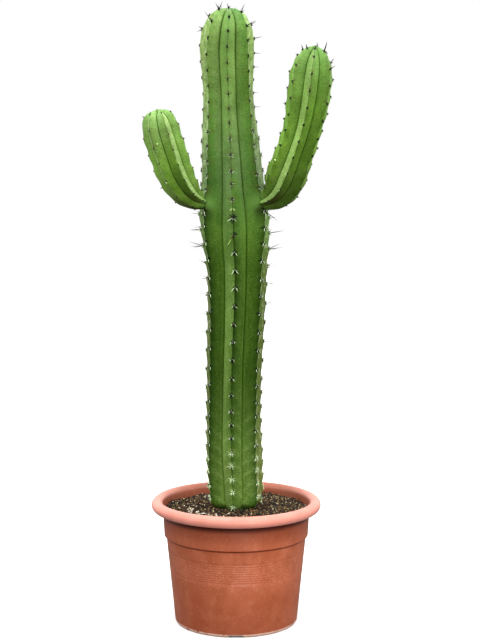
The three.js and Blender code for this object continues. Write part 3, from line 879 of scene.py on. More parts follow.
class Nodes:
    """Short names for what a node tree is made of."""

    def __init__(self, tree):
        self.tree = tree

    def add(self, kind, **settings):
        made = self.tree.nodes.new("ShaderNode" + kind)
        for key, value in settings.items():
            setattr(made, key, value)
        return made

    def feed(self, socket, value):
        if isinstance(value, bpy.types.NodeSocket):
            self.tree.links.new(value, socket)
        else:
            socket.default_value = value

    def field(self, name):
        """A number that the mesh carries at each point."""
        return self.add("Attribute", attribute_name=name).outputs["Fac"]

    def place(self, stretch=(1, 1, 1)):
        mapping = self.add("Mapping")
        mapping.inputs["Scale"].default_value = stretch
        self.feed(mapping.inputs["Vector"], self.add("TexCoord").outputs["Object"])
        return mapping.outputs["Vector"]

    def grain(self, scale, detail=2.0, stretch=1):
        """Noise with so many grains to the metre, and that many times the stretch upwards."""
        made = self.add("TexNoise")
        made.inputs["Scale"].default_value = scale
        made.inputs["Detail"].default_value = detail
        self.feed(made.inputs["Vector"], self.place((1, 1, stretch)))
        return made.outputs["Fac"]

    def spread(self, value, low, high, to_low=0.0, to_high=1.0):
        """The value from low to high, eased and brought to another range."""
        made = self.add("MapRange", interpolation_type="SMOOTHSTEP")
        names = ("Value", "From Min", "From Max", "To Min", "To Max")
        for name, number in zip(names, (value, low, high, to_low, to_high)):
            self.feed(made.inputs[name], number)
        return made.outputs["Result"]

    def math(self, operation, first, second=0.0):
        made = self.add("Math", operation=operation)
        self.feed(made.inputs[0], first)
        self.feed(made.inputs[1], second)
        return made.outputs[0]

    def times(self, first, *others):
        for other in others:
            first = self.math("MULTIPLY", first, other)
        return first

    def plus(self, first, *others):
        for other in others:
            first = self.math("ADD", first, other)
        return first

    def within(self, value, rise, fall):
        """1 past the rise and before the fall, each a pair of places."""
        return self.times(self.spread(value, *rise), self.spread(value, *fall))

    def mix(self, amount, first, second):
        """Two colours mixed by an amount."""
        made = self.add("Mix", data_type="RGBA")
        for socket, value in ((0, amount), (6, first), (7, second)):
            self.feed(made.inputs[socket], value)
        return made.outputs[2]

    def over(self, base, colour, *amounts):
        """A colour laid over a base, as strong as some amounts say together."""
        return self.mix(self.times(*amounts), base, srgb(*colour))

    def ramp(self, value, stops):
        """A colour for each value, from stops of (place, red, green, blue)."""
        made = self.add("ValToRGB")
        elements = made.color_ramp.elements
        while len(elements) < len(stops):
            elements.new(0.5)
        for element, (place, *colour) in zip(elements, stops):
            element.position = place
            element.color = srgb(*colour)
        self.feed(made.inputs["Fac"], value)
        return made.outputs["Color"]


class Paint(Nodes):
    """A new material."""

    def __init__(self, name, roughness, specular=0.5):
        self.material = bpy.data.materials.new(name)
        self.material.use_nodes = True
        super().__init__(self.material.node_tree)
        self.shader = self.tree.nodes["Principled BSDF"]
        self.shader.inputs["Roughness"].default_value = roughness
        self.shader.inputs["Specular IOR Level"].default_value = specular

    def finish(self, colour, height, distance, strength=1.0):
        """The material, with its colour and its bumps."""
        self.feed(self.shader.inputs["Base Color"], colour)
        bump = self.add("Bump")
        bump.inputs["Distance"].default_value = distance * METRES
        bump.inputs["Strength"].default_value = strength
        self.feed(bump.inputs["Height"], height)
        self.feed(self.shader.inputs["Normal"], bump.outputs["Normal"])
        return self.material


def bloom_and_painted_light(paint, green):
    """The green under each flank's pale tone: the skin's own waxy bloom together with painted light where the
    side and top lights fall.
    """
    age = paint.field("age")
    bloom_and_light = paint.times(paint.math("MAXIMUM", paint.field("flank_tone"), 0.0), 0.89)
    patchy = paint.spread(paint.grain(210, 3), 0.36, 0.62, 0.62, 1.0)
    colour = paint.mix(paint.field("arm"), paint.ramp(age, TRUNK_BLOOM_AND_LIGHT), paint.ramp(age, ARM_BLOOM_AND_LIGHT))
    return paint.mix(paint.times(bloom_and_light, patchy), green, colour)


def mottled(paint, green):
    """Broad blotches, streaks along the ribs and fine pale specks."""
    for scale, detail, stretch, shown, strength, colour in SKIN_MOTTLE:
        spots = paint.spread(paint.grain(scale, detail, stretch), *shown)
        green = paint.over(green, colour, spots, strength)
    return green


def chevroned(paint, green):
    """Pale bands that slope from the crest to the groove, low on the trunk."""
    slope = paint.plus(paint.field("phase"), paint.times(paint.field("flank"), 0.75))
    bands = paint.spread(paint.math("SINE", paint.times(slope, 2 * math.pi)), 0.2, 1.0)
    low = paint.spread(paint.field("age"), 0.42, 0.3)
    broken = paint.spread(paint.grain(60, 3), 0.3, 0.6)
    return paint.over(green, (136, 158, 86), bands, low, broken, 0.38)


def hatched(paint, green):
    """Short pale and dark strokes on the trunk's side ribs."""
    amount = paint.times(paint.field("side"), 0.38)
    lines = paint.grain(150, 3, 0.5)
    green = paint.over(green, (206, 214, 180), paint.spread(lines, 0.54, 0.64), amount)
    return paint.over(green, (84, 92, 54), paint.spread(lines, 0.46, 0.38), amount)


def deep_green_and_painted_shade(paint, green):
    """The green darkened where a flank's tone is below zero: painted shade on the flanks that the light
    misses, with some deeper green of the skin's own.
    """
    depth = paint.math("MAXIMUM", paint.times(paint.field("flank_tone"), -1.0), 0.0)
    return paint.over(green, (28, 56, 3), paint.math("MINIMUM", depth, 0.93))


def groove_light_and_shade(paint, green):
    """Painted light on the swelling beside the groove and painted shade in it, the shade strongest at the
    crown.
    """
    age = paint.field("age")
    flank = paint.field("flank")
    # Painted light on the swelling beside the groove
    green = paint.over(green, (130, 172, 64), paint.spread(flank, 0.7, 0.93), 0.15)
    # Painted shade in the groove
    start = paint.spread(age, 0.88, 1.0, 0.945, 0.72)
    end = paint.spread(age, 0.88, 1.0, 0.985, 0.98)
    strength = paint.spread(age, 0.5, 0.75, 0.2, 0.55)
    return paint.over(green, (38, 82, 14), paint.spread(flank, start, end), strength)


def spotted(paint, green):
    """A broken dark line along the crest, and a dark patch above each areole that is partly the areole's own
    dark tissue and partly painted shade, strongest on flanks whose tone is painted shade and faint where the
    skin is pale.
    """
    age = paint.field("age")
    flank = paint.field("flank")
    broken = paint.spread(paint.grain(120, 2), 0.3, 0.6)
    green = paint.over(green, (30, 48, 10), paint.spread(flank, 0.05, 0.015), broken, 0.5)
    shifted = paint.math("FRACT", paint.plus(paint.field("phase"), 0.46))
    off = paint.math("ABSOLUTE", paint.math("SUBTRACT", shifted, 0.5))
    ragged = paint.plus(paint.times(paint.grain(200, 2), 0.16), -0.08)
    far = paint.plus(off, ragged, paint.times(flank, 0.7))
    young = paint.within(age, (0.64, 0.72), (0.98, 0.9))
    green = paint.over(green, (86, 88, 40), paint.spread(far, 0.5, 0.1), young, 0.55)
    shrink = 0.11
    on_arm = paint.times(paint.field("arm"), shrink)
    smaller = paint.math("MAXIMUM", paint.spread(age, 0.64, 0.76, 0.0, shrink), on_arm)
    # The patch above each areole: partly painted shade, made stronger where the flank's tone is painted shade
    spot = paint.spread(paint.plus(far, smaller), 0.27, 0.13)
    shade = paint.spread(paint.field("flank_tone"), 0.3, -0.3, 0.35, 1.0)
    return paint.over(green, (8, 20, 2), spot, shade, paint.spread(age, 0.36, 0.56, 0.6, 0.95))


def skin_material():
    """Green skin with tones by height and flank; the flank tones hold painted light and painted shade as well
    as the skin's own bloom.
    """
    paint = Paint("cactus_skin", 0.42, 0.22)
    paint.shader.inputs["Specular Tint"].default_value = (0.6, 0.85, 0.4, 1.0)
    age = paint.field("age")
    green = paint.mix(paint.field("arm"), paint.ramp(age, TRUNK_GREENS), paint.ramp(age, ARM_GREENS))
    for change in (bloom_and_painted_light, mottled, chevroned, hatched, deep_green_and_painted_shade, groove_light_and_shade):
        green = change(paint, green)
    green = paint.over(green, (84, 70, 22), paint.field("brown"), 0.6)
    # Painted light on each arm's root
    green = paint.over(green, (134, 184, 88), paint.field("arm_root_light"), 0.6)
    # Painted shadow under each arm's root
    green = paint.over(green, (14, 30, 4), paint.field("arm_root_shadow"), 0.85)
    fine = paint.plus(paint.grain(400, 3), paint.times(paint.grain(90, 2), 2.0))
    return paint.finish(spotted(paint, green), fine, 0.3, 0.7)


def spine_material(kind):
    """A spine's colours from its root to its tip, a little different from spine to spine."""
    paint = Paint(f"spine_{kind}", 0.5, 0.15)
    colour = paint.ramp(paint.field("reach"), SPINE_COLOURS[kind])
    colour = paint.over(colour, (96, 90, 78), paint.field("tone"), 0.15)
    return paint.finish(colour, paint.grain(1500, 2), 0.05)


def felt_material():
    paint = Paint("areole_felt", 0.9, 0.15)
    return paint.finish(paint.ramp(paint.grain(1200, 3), FELT_COLOURS), paint.grain(2500, 2), 0.4)


def bud_material():
    paint = Paint("bud_scales", 0.45)
    return paint.finish(paint.ramp(paint.grain(500, 2), BUD_COLOURS), paint.grain(900, 2), 0.2)


def earth_material(name):
    """Grains of many tones, with a finer mottle on each."""
    paint = Paint(name, 0.95)
    tone = paint.plus(paint.times(paint.field("tone"), 0.8), paint.times(paint.grain(700, 3), 0.3))
    return paint.finish(paint.ramp(tone, EARTHS[name]), paint.grain(1500, 3), 0.4)


def pot_material():
    """Terracotta coloured plastic: mottled and blotchy, darker towards the bottom, paler and pinker on the
    rim (partly bleached plastic, partly painted light from above), painted shade inside, under the rim, on
    the collar, at the step and on the rim's back, scuffed at the foot.
    """
    paint = Paint("pot_plastic", 0.38, 0.22)
    parts = paint.add("SeparateXYZ")
    paint.feed(parts.inputs[0], paint.place())
    height = parts.outputs["Z"]
    length = paint.add("VectorMath", operation="LENGTH")
    paint.feed(length.inputs[0], paint.place((1, 1, 0)))
    out = length.outputs["Value"]
    mottle = paint.spread(paint.grain(28, 4), 0.3, 0.7)
    colour = paint.mix(mottle, srgb(142, 72, 44), srgb(154, 82, 55))
    streaks = paint.spread(paint.grain(70, 4, 0.6), 0.45, 0.75)
    colour = paint.over(colour, (186, 116, 90), streaks, 0.18)
    # Blotches that darken the wall towards the bottom
    low_blotches = paint.spread(paint.grain(34, 5), 0.4, 0.65)
    colour = paint.over(colour, (132, 58, 34), paint.spread(height, *LOW_BLOTCHES_FROM), low_blotches, 0.4)
    dashes = paint.spread(paint.grain(260, 4, 2.4), 0.52, 0.7)
    colour = paint.over(colour, (206, 138, 112), paint.within(height, *DASH_BAND), dashes, 0.34)
    # Painted shadow of the rim on the collar
    colour = paint.over(colour, (108, 46, 26), paint.within(height, *COLLAR_SHADOW_BAND), 0.55)
    colour = paint.over(colour, (200, 140, 116), paint.spread(paint.grain(420, 2), 0.62, 0.74), 0.3)
    inside, rim = [
        paint.times(paint.spread(out, *where["out"]), paint.spread(height, *where["height"]))
        for where in (INNER_WALL_SHADE, RIM)
    ]
    # Painted shade on the inner wall above the mix
    colour = paint.over(colour, (128, 58, 28), inside, 0.7)
    # The rim paler and pinker: partly bleached plastic, partly painted light from above
    colour = paint.mix(rim, colour, paint.mix(mottle, srgb(200, 126, 110), srgb(209, 138, 122)))
    # Painted shade on the back of the rim
    colour = paint.over(colour, (150, 84, 60), rim, paint.spread(parts.outputs["Y"], *RIM["back"]), 0.85)
    # Painted shade in the crease under the rim
    colour = paint.over(colour, (48, 6, 1), paint.within(height, *UNDER_RIM_SHADOW_BAND), 0.94)
    # Painted shadow under the collar's step
    colour = paint.over(colour, (92, 26, 6), paint.within(height, *STEP_SHADOW_BAND), 0.85)
    scuffs = paint.spread(paint.grain(120, 4), 0.34, 0.5)
    colour = paint.over(colour, (222, 190, 170), paint.within(height, *FOOT_BAND), scuffs, 0.7)
    return paint.finish(colour, paint.grain(240, 4), 0.15, 0.5)


# The cactus


def stem_body(name, stem, foot=()):
    """One stem as a closed body. foot holds extra rings, as (radius, z), below its first row."""
    points, fields = stem_surface(stem, stem_rows(stem))
    if foot:
        turns = np.radians(stem_columns(stem, np.array([stem.first]))[3][0])
        points = np.concatenate([rings(foot, turns), points])
        fields = {key: np.concatenate([values[:1]] * len(foot) + [values]) for key, values in fields.items()}
    return closed_round(name, points, fields)


def make_body(trunk, arms):
    foot = [(PEG_RADIUS, SOIL_LEVEL - PEG_DEPTH), (PEG_RADIUS, SOIL_LEVEL + CLEARANCE)]
    body = stem_body("cactus_body", trunk, foot)
    for arm in arms:
        carve(body, stem_body(arm.name, arm), "UNION")
    return body


def all_areoles(stems):
    """Every areole of the plant, with its directions out, up and across."""
    areoles = []
    for stem in stems:
        for rib in range(RIB_COUNT):
            places = areole_places(stem, rib)
            for place, root, up, out, across in zip(places, *crest_spots(stem, places, rib)):
                areoles.append(SimpleNamespace(
                    stem=stem, rib=rib, place=place, root=root, up=up, out=out, across=across,
                    share=float(stem.age(place)),
                ))
    return areoles


def growth(areole):
    """What grows on an areole, by where it is on the plant."""
    if areole.stem.name == "trunk":
        zones = (
            (TOP_TUFTS_FROM, "top"), (YOUNG_FROM, "young"), (FAINT_FROM, "faint"), (STARS_BELOW, "mark"),
        )
        return next((name for start, name in zones if areole.place > start), "star")
    return "strong" if areole.stem.name == "right_arm" and areole.share > STRONG_FROM else "arm"


def grow_spines(areoles, draw):
    """Every spine of the plant, sorted by kind."""
    kinds = {"pale": [], "long": [], "dark": [], "fresh": []}
    for areole in areoles:
        if areole.rib == 0 and min(abs(areole.place - spot) for spot in SHOWN_WHOLE) < 6:
            continue
        name = growth(areole)
        if name == "mark":
            grow_mark(kinds, areole, draw)
        for kind, *fan in FANS.get(name, ()):
            kinds[kind] += grow_fan(areole, draw, *fan)
        if name in STANDING:
            kind, *standing = STANDING[name]
            kinds[kind] += grow_standing(areole, draw, *standing)
        if areole.stem.name != "trunk" and areole.share < 0.5 and draw.random() < 0.6:
            kinds["pale"].append(spine(areole, 180 + 40 * draw.normal(), 0.7, 4.5, 0.5))
    for kind, places in SHOWN_SPINES.items():
        for root_pixel, *tips in places:
            kinds[kind] += [shown_spine(areoles, root_pixel, tip, width) for *tip, width in tips]
    return kinds


def spine(areole, angle, lift, length, width):
    """A spine of an areole: its angle from up along the crest, and how far it stands off the skin."""
    turn = math.radians(angle)
    aim = math.cos(turn) * areole.up + math.sin(turn) * areole.across + lift * areole.out
    return areole.root, aim, length, width


def near(draw, middle, stray):
    return middle + stray * draw.normal()


def within(draw, middle, reach):
    return middle + reach * (2 * draw.random() - 1)


def grow_fan(areole, draw, angles, stray, lift, length, width):
    """Spines all round an areole."""
    return [
        spine(areole, near(draw, angle, stray), near(draw, *lift), near(draw, *length), width)
        for angle in angles
    ]


def grow_standing(areole, draw, chance, rise, turn, length, width):
    """Sometimes one spine that stands out of an areole."""
    if draw.random() >= chance:
        return []
    aim = areole.out + within(draw, *rise) * areole.up + within(draw, 0, turn) * areole.across
    return [(areole.root, aim, within(draw, *length), width)]


def grow_mark(kinds, areole, draw):
    """Pale spines that hang like the legs of a tent, and short dark ones."""
    top = areole.root + MARK_RISE * areole.up
    shape = CLEAR_LEG if areole.place > CLEAR_MARKS_FROM else THIN_LEG
    kinds["pale"].append((top, areole.out + 0.4 * areole.up, 1.8, shape["knot"]))
    for side in (-1, 1):
        leg = SimpleNamespace(**vars(areole))
        leg.root = top + side * MARK_LEG[0] * areole.across + MARK_LEG[1] * areole.up
        length = near(draw, *shape["length"])
        hanging = 180 - side * near(draw, 40, 4)
        kinds["pale"].append(spine(leg, hanging, near(draw, 0.28, 0.05), length, shape["width"]))
        if draw.random() < 0.5:
            sideways = side * near(draw, 84, 7)
            kinds["pale"].append(spine(leg, sideways, 0.5, near(draw, 4.0, 0.7), 0.55))
        rising = side * near(draw, 22, 8)
        kinds["dark"].append(spine(leg, rising, 0.4, near(draw, 4.6, 0.5), 0.85))
        falling = 180 - side * near(draw, 12, 4)
        kinds["dark"].append(spine(leg, falling, 0.2, near(draw, 6.0, 0.5), 0.85))


def needles(roots, aims, lengths, widths, bend, sides=5):
    """Tapered needles with a slight curve: points, faces, and how far along each point is."""
    levels = np.array([-0.12, 0.05, 0.4, 0.75, 0.94])
    helper = np.where(np.abs(aims[:, 2:3]) < 0.8, UP, RIGHT)
    one = unit(np.cross(aims, helper))
    other = np.cross(aims, one)
    angle = np.arange(sides) * 2 * np.pi / sides
    ring = np.cos(angle)[:, None] * one[:, None] + np.sin(angle)[:, None] * other[:, None]
    middle = roots[:, None] + lengths[:, None, None] * (
        levels[:, None] * aims[:, None] + (levels[:, None] ** 2) * bend[:, None]
    )
    girth = widths[:, None] * np.clip(1 - np.clip(levels, 0, 1) ** 2.2, 0.15, 1)
    body = middle[:, :, None] + girth[..., None, None] * ring[:, None]
    tip = roots + lengths[:, None] * (aims + bend)
    points = np.concatenate([body.reshape(len(roots), -1, 3), tip[:, None]], axis=1)
    size = points.shape[1]
    last = (len(levels) - 1) * sides
    pattern = grid_faces(len(levels), sides)
    pattern += [[last + i, last + (i + 1) % sides, size - 1] for i in range(sides)]
    pattern += [list(range(sides))[::-1]]
    reach = np.append(np.repeat(np.clip(levels, 0, 1), sides), 1.0)
    return points, repeated(pattern, size, len(roots)), np.tile(reach, len(roots))


def make_needles(name, rows, draw):
    """One piece from a list of needles, each (root, aim, length, width)."""
    roots, aims, lengths, widths = [np.array(column) for column in zip(*rows)]
    bend = 0.06 * draw.normal(size=roots.shape)
    points, faces, reach = needles(roots, unit(aims), lengths, widths, bend)
    tone = np.repeat(draw.random(len(rows)), points.shape[1])
    return link_mesh(name, points, faces, {"reach": reach, "tone": tone})


def seen_at(spot):
    """The picture's column and row of a spot in millimetres."""
    away = np.asarray(spot) * METRES - np.array(CAMERA_PLACE)
    down = math.radians(CAMERA_DOWN)
    depth = away[..., 1] * math.cos(down) - away[..., 2] * math.sin(down)
    rise = away[..., 1] * math.sin(down) + away[..., 2] * math.cos(down)
    column = PICTURE_WIDTH / 2 + PICTURE_FOCUS * away[..., 0] / depth
    row = PICTURE_HEIGHT / 2 - PICTURE_FOCUS * rise / depth
    return np.stack([column, row], axis=-1)


def areole_at(areoles, pixel, facing):
    """The areole that is seen nearest to a pixel, of those that face the front enough."""
    fronts = [areole for areole in areoles if areole.out[1] < facing]
    seen = seen_at(np.array([areole.root for areole in fronts]))
    return fronts[int(np.argmin(np.linalg.norm(seen - pixel, axis=1)))]


def shown_spine(areoles, root_pixel, tip_pixel, width):
    """A spine of the areole nearest to one pixel, as long and as steep as from there to another pixel."""
    scale = -CAMERA_PLACE[1] / METRES / PICTURE_FOCUS
    across = (tip_pixel[0] - root_pixel[0]) * scale
    up = (root_pixel[1] - tip_pixel[1]) * scale
    aim = np.array([across, -0.15 * math.hypot(across, up), up])
    return areole_at(areoles, root_pixel, 0.6).root, aim, float(np.linalg.norm(aim)), width


def pad_size(areole):
    """Half the width, height and depth of an areole's cushion."""
    name = growth(areole)
    if areole.stem.name == "trunk":
        return YOUNG_PAD if name in ("young", "top") else TRUNK_PAD
    return STRONG_PAD if name == "strong" else ARM_PAD


def make_pads(name, areoles, sizes, draw):
    """A low uneven cushion on each areole or speck."""
    lift = np.linspace(-0.7, np.pi / 2 - 0.12, PAD_RINGS)
    turn = np.arange(PAD_COLUMNS) * 2 * np.pi / PAD_COLUMNS
    level = np.cos(lift)[:, None]
    dome = np.stack([level * np.cos(turn), level * np.sin(turn), np.sin(lift)[:, None] + 0 * turn], axis=-1)
    dome = dome.reshape(-1, 3)
    points = []
    for areole, size in zip(areoles, sizes):
        size = size * (1 + PAD_UNEVEN * draw.normal(size=3))
        shape = dome * size * (1 + PAD_UNEVEN * draw.normal(size=(len(dome), 1)))
        turned_out = shape[:, :1] * areole.across + shape[:, 1:2] * areole.up + shape[:, 2:] * areole.out
        points.append(areole.root + turned_out)
    pattern = capped_faces(PAD_RINGS, PAD_COLUMNS)
    return link_mesh(name, np.array(points), repeated(pattern, len(dome), len(points)))


def skin_spots(stems, pixels):
    """The spots of some stems' skin that the picture shows at some pixels."""
    skins = [stem_surface(stem, stem_rows(stem))[0] for stem in stems]
    points = np.concatenate([skin.reshape(-1, 3) for skin in skins])
    outward = np.concatenate([surface_normals(skin).reshape(-1, 3) for skin in skins])
    facing = outward[:, 1] < -0.2
    points, outward = points[facing], outward[facing]
    seen = seen_at(points)
    spots = []
    for pixel in pixels:
        nearest = int(np.argmin(np.linalg.norm(seen - pixel, axis=1)))
        out = outward[nearest]
        across = unit(np.cross(UP, out))
        spots.append(SimpleNamespace(root=points[nearest], out=out, across=across, up=np.cross(out, across)))
    return spots


def make_bud(areoles):
    """A small bud of pale scales on the crest, just above one areole."""
    areole = areole_at(areoles, BUD_PIXEL, -0.5)
    base = areole.root + BUD_LIFT * areole.up
    levels = np.linspace(0, 1, len(BUD_GIRTH))
    turn = np.arange(BUD_SIDES) * 2 * np.pi / BUD_SIDES
    points = []
    for across, rise, width, length in BUD_SCALES:
        lean = unit(areole.up + 0.9 * areole.out + 0.12 * across * areole.across)
        side = unit(np.cross(lean, areole.out))
        face = np.cross(side, lean)
        start = base + across * areole.across + rise * areole.up - 0.8 * areole.out
        ring = np.cos(turn)[:, None] * side + 0.6 * np.sin(turn)[:, None] * face
        body = start + length * levels[:, None, None] * lean + width * BUD_GIRTH[:, None, None] * ring
        points.append(body.reshape(-1, 3))
    pattern = capped_faces(len(levels), BUD_SIDES)
    return link_mesh("bud", np.array(points), repeated(pattern, len(points[0]), len(points)))


# The mix


def soil_height(x, y):
    """The height of the mix at a spot, level where the stem stands."""
    out = np.hypot(x, y)
    broad = np.sin(x / 17 + 0.4) * np.cos(y / 21)
    narrow = 0.7 * np.sin(y / 11 - x / 29)
    edge = smoothstep(out, *EDGE_FROM) * (SOIL_LEVEL - SOIL_EDGE_LEVEL)
    return SOIL_LEVEL + smoothstep(out, *FLAT_TO) * MOUND_HEIGHT * (broad + narrow) - edge


def make_soil(draw):
    """The body of the mix, crumbly on top."""
    edge = COLLAR_TOP[0] - WALL - CLEARANCE + 1.2
    inset = WALL + CLEARANCE
    hole = PEG_RADIUS + CLEARANCE
    floor = SOIL_LEVEL - PEG_DEPTH - CLEARANCE
    corners = (WALL_TOP, STEP, COLLAR_FOOT, COLLAR_TOP)
    lower = [
        (ON_AXIS, RECESS_HEIGHT + inset),
        (FOOT_EDGE[0] + 0.5 - inset, RECESS_HEIGHT + inset),
        *[(radius - inset, z) for radius, z in corners],
    ]
    top = [(radius, SOIL_LEVEL) for radius in np.linspace(edge, hole, SOIL_ROWS)]
    body = turned("mix_bed", [*lower, *top, (hole, floor), (ON_AXIS, floor)], SOIL_COLUMNS)
    spots = np.empty(len(body.data.vertices) * 3, np.float32)
    body.data.vertices.foreach_get("co", spots)
    spots = spots.reshape(-1, 3) / METRES
    first = len(lower) * SOIL_COLUMNS
    for i in range(first, first + len(top) * SOIL_COLUMNS):
        x, y, _ = spots[i]
        fine = noise.noise(Vector((x / FINE_CRUMB, y / FINE_CRUMB, 3.0)))
        crumb = fine + 0.7 * noise.noise(Vector((x / COARSE_CRUMB, y / COARSE_CRUMB, 9.0)))
        away = smoothstep(math.hypot(x, y), *SMOOTH_TO)
        spots[i, 2] = soil_height(x, y) + CRUMB_HEIGHT * crumb * away - 0.5 * away
    body.data.vertices.foreach_set("co", (spots * METRES).astype(np.float32).ravel())
    body.data.update()
    tone = 0.25 + 0.2 * draw.random(len(spots))
    attribute = body.data.attributes.new("tone", "FLOAT", "POINT")
    attribute.data.foreach_set("value", tone.astype(np.float32))
    return body


GOLDEN = (1 + math.sqrt(5)) / 2
ICOSAHEDRON = unit(np.array([
    (-1, GOLDEN, 0), (1, GOLDEN, 0), (-1, -GOLDEN, 0), (1, -GOLDEN, 0),
    (0, -1, GOLDEN), (0, 1, GOLDEN), (0, -1, -GOLDEN), (0, 1, -GOLDEN),
    (GOLDEN, 0, -1), (GOLDEN, 0, 1), (-GOLDEN, 0, -1), (-GOLDEN, 0, 1),
], float))
ICOSAHEDRON_FACES = [
    (0, 11, 5), (0, 5, 1), (0, 1, 7), (0, 7, 10), (0, 10, 11), (1, 5, 9), (5, 11, 4), (11, 10, 2),
    (10, 7, 6), (7, 1, 8), (3, 9, 4), (3, 4, 2), (3, 2, 6), (3, 6, 8), (3, 8, 9), (4, 9, 5),
    (2, 4, 11), (6, 2, 10), (8, 6, 7), (9, 8, 1),
]


def random_turns(count, draw):
    """Rotation matrices, evenly spread."""
    w, x, y, z = unit(draw.normal(size=(count, 4))).T
    return np.stack([
        1 - 2 * (y * y + z * z), 2 * (x * y - w * z), 2 * (x * z + w * y),
        2 * (x * y + w * z), 1 - 2 * (x * x + z * z), 2 * (y * z - w * x),
        2 * (x * z - w * y), 2 * (y * z + w * x), 1 - 2 * (x * x + y * y),
    ], axis=-1).reshape(count, 3, 3)


def stem_reach(trunk, x, y):
    """How far spots on the mix are from the trunk's axis, and how far out its skin is on that side."""
    level = SOIL_LEVEL + np.array([4.0, 6.0])
    axis = trunk.frame(level)[0][0]
    skin = stem_surface(trunk, level)[0][0] - axis
    turn = np.arctan2(skin[:, 0], -skin[:, 1])
    order = np.argsort(turn)
    x, y = x - axis[0], y - axis[1]
    out = np.hypot(skin[:, 0], skin[:, 1])
    return np.hypot(x, y), np.interp(np.arctan2(x, -y), turn[order], out[order], period=2 * np.pi)


def make_grains(name, trunk, draw):
    """Loose grains on the mix, clear of the stem."""
    count, sizes, flatness, tones, _, patch = GRAINS[name]
    radius = np.sqrt(draw.uniform(patch[0] ** 2, patch[1] ** 2, count * 2))
    turn = np.radians(draw.uniform(patch[2], patch[3], count * 2))
    x, y = radius * np.sin(turn), -radius * np.cos(turn)
    away, reach = stem_reach(trunk, x, y)
    size = draw.uniform(0, 1, count * 2) ** GRAIN_SKEW * (sizes[1] - sizes[0]) + sizes[0]
    clear = np.flatnonzero(away > reach + 0.2 * size)[:count]
    x, y, size = x[clear], y[clear], size[clear]
    z = soil_height(x, y) + size * draw.uniform(-0.1, 0.35, len(clear))
    z += HEAP_HEIGHT * (1 - smoothstep(np.hypot(x, y), *HEAP_TO))
    corners = len(ICOSAHEDRON)
    shape = ICOSAHEDRON * (1 + GRAIN_UNEVEN * draw.normal(size=(len(clear), corners, 1)))
    shape = shape * np.array([1, draw.uniform(0.6, 0.9), flatness])
    shape = np.einsum("nij,nkj->nki", random_turns(len(clear), draw), shape)
    points = np.stack([x, y, z], axis=-1)[:, None] + shape * size[:, None, None] / 2
    tone = np.repeat(draw.uniform(*tones, len(clear)), corners)
    return link_mesh(name, points, repeated(ICOSAHEDRON_FACES, corners, len(clear)), {"tone": tone})


# The pot


def arc(centre, radius, start, end, steps):
    """Points on a circle in the profile's plane, from one angle to another in degrees."""
    angles = np.radians(np.linspace(start, end, steps + 1))
    return [(centre[0] + radius * math.cos(a), centre[1] + radius * math.sin(a)) for a in angles]


def eased(profile, cut=CORNER_CUT, steps=3):
    """The profile with each corner between long edges turned into a small curve."""
    points = np.array(profile, float)
    made = [tuple(points[0])]
    for before, corner, after in zip(points, points[1:], points[2:]):
        into = np.linalg.norm(corner - before)
        out = np.linalg.norm(after - corner)
        if min(into, out) < 3 * cut:
            made.append(tuple(corner))
            continue
        start = corner + (before - corner) * cut / into
        end = corner + (after - corner) * cut / out
        for part in np.linspace(0, 1, steps + 1):
            made.append(tuple((1 - part) ** 2 * start + 2 * part * (1 - part) * corner + part**2 * end))
    return [*made, tuple(points[-1])]


def ringed(profile, longest=LONGEST_EDGE):
    """The profile with its long edges cut into shorter ones, so that its shading follows its form."""
    points = [tuple(profile[0])]
    for before, after in zip(profile, profile[1:]):
        before, after = np.array(before, float), np.array(after, float)
        parts = max(1, math.ceil(np.linalg.norm(after - before) / longest))
        points += [tuple(before + (after - before) * part / parts) for part in range(1, parts + 1)]
    return points


def wall_radius(z):
    """The radius of the outside of the wall between its foot and its top."""
    share = (z - FOOT_EDGE[1]) / (WALL_TOP[1] - FOOT_EDGE[1])
    return FOOT_EDGE[0] + share * (WALL_TOP[0] - FOOT_EDGE[0])


def engraved_lines():
    """Fine grooves round the wall, from the lowest up."""
    points = []
    for number in range(LINES):
        for offset, depth in ((-0.5, 0), (-0.2, 1), (0.2, 1), (0.5, 0)):
            z = LINES_FROM + number * LINES_APART + offset * LINE_WIDTH
            points.append((wall_radius(z) - depth * LINE_DEPTH, z))
    return points


def make_pot():
    centre = (RIM_RADIUS - ROLL_RADIUS, POT_HEIGHT - ROLL_RADIUS)
    outside = [
        (ON_AXIS, RECESS_HEIGHT), (RECESS_RADIUS, RECESS_HEIGHT), (RECESS_RADIUS, 0), (FOOT_RADIUS, 0),
        FOOT_EDGE, *engraved_lines(), WALL_TOP, (wall_radius(STEP[1] - 2), STEP[1] - 2), STEP,
        COLLAR_FOOT, COLLAR_TOP,
    ]
    corners = (COLLAR_TOP, COLLAR_FOOT, STEP, WALL_TOP, (FOOT_EDGE[0] + 0.5, RECESS_HEIGHT + WALL))
    inside = [(radius - WALL, z) for radius, z in corners]
    profile = [
        *eased(outside),
        *arc(centre, ROLL_RADIUS - ROLL_WALL, 180, ROLL_LIP_ANGLE, 16),
        *arc(centre, ROLL_RADIUS, ROLL_LIP_ANGLE, 180, 30),
        *eased([*inside, (ON_AXIS, RECESS_HEIGHT + WALL)]),
    ]
    pot = turned("pot_shell", ringed(profile), POT_COLUMNS)
    for number in range(NOTCHES):
        carve(pot, foot_notch(2 * math.pi * number / NOTCHES), "DIFFERENCE")
    for number in range(DRAINS):
        carve(pot, drain(2 * math.pi * (number + 0.5) / DRAINS), "DIFFERENCE")
    return pot


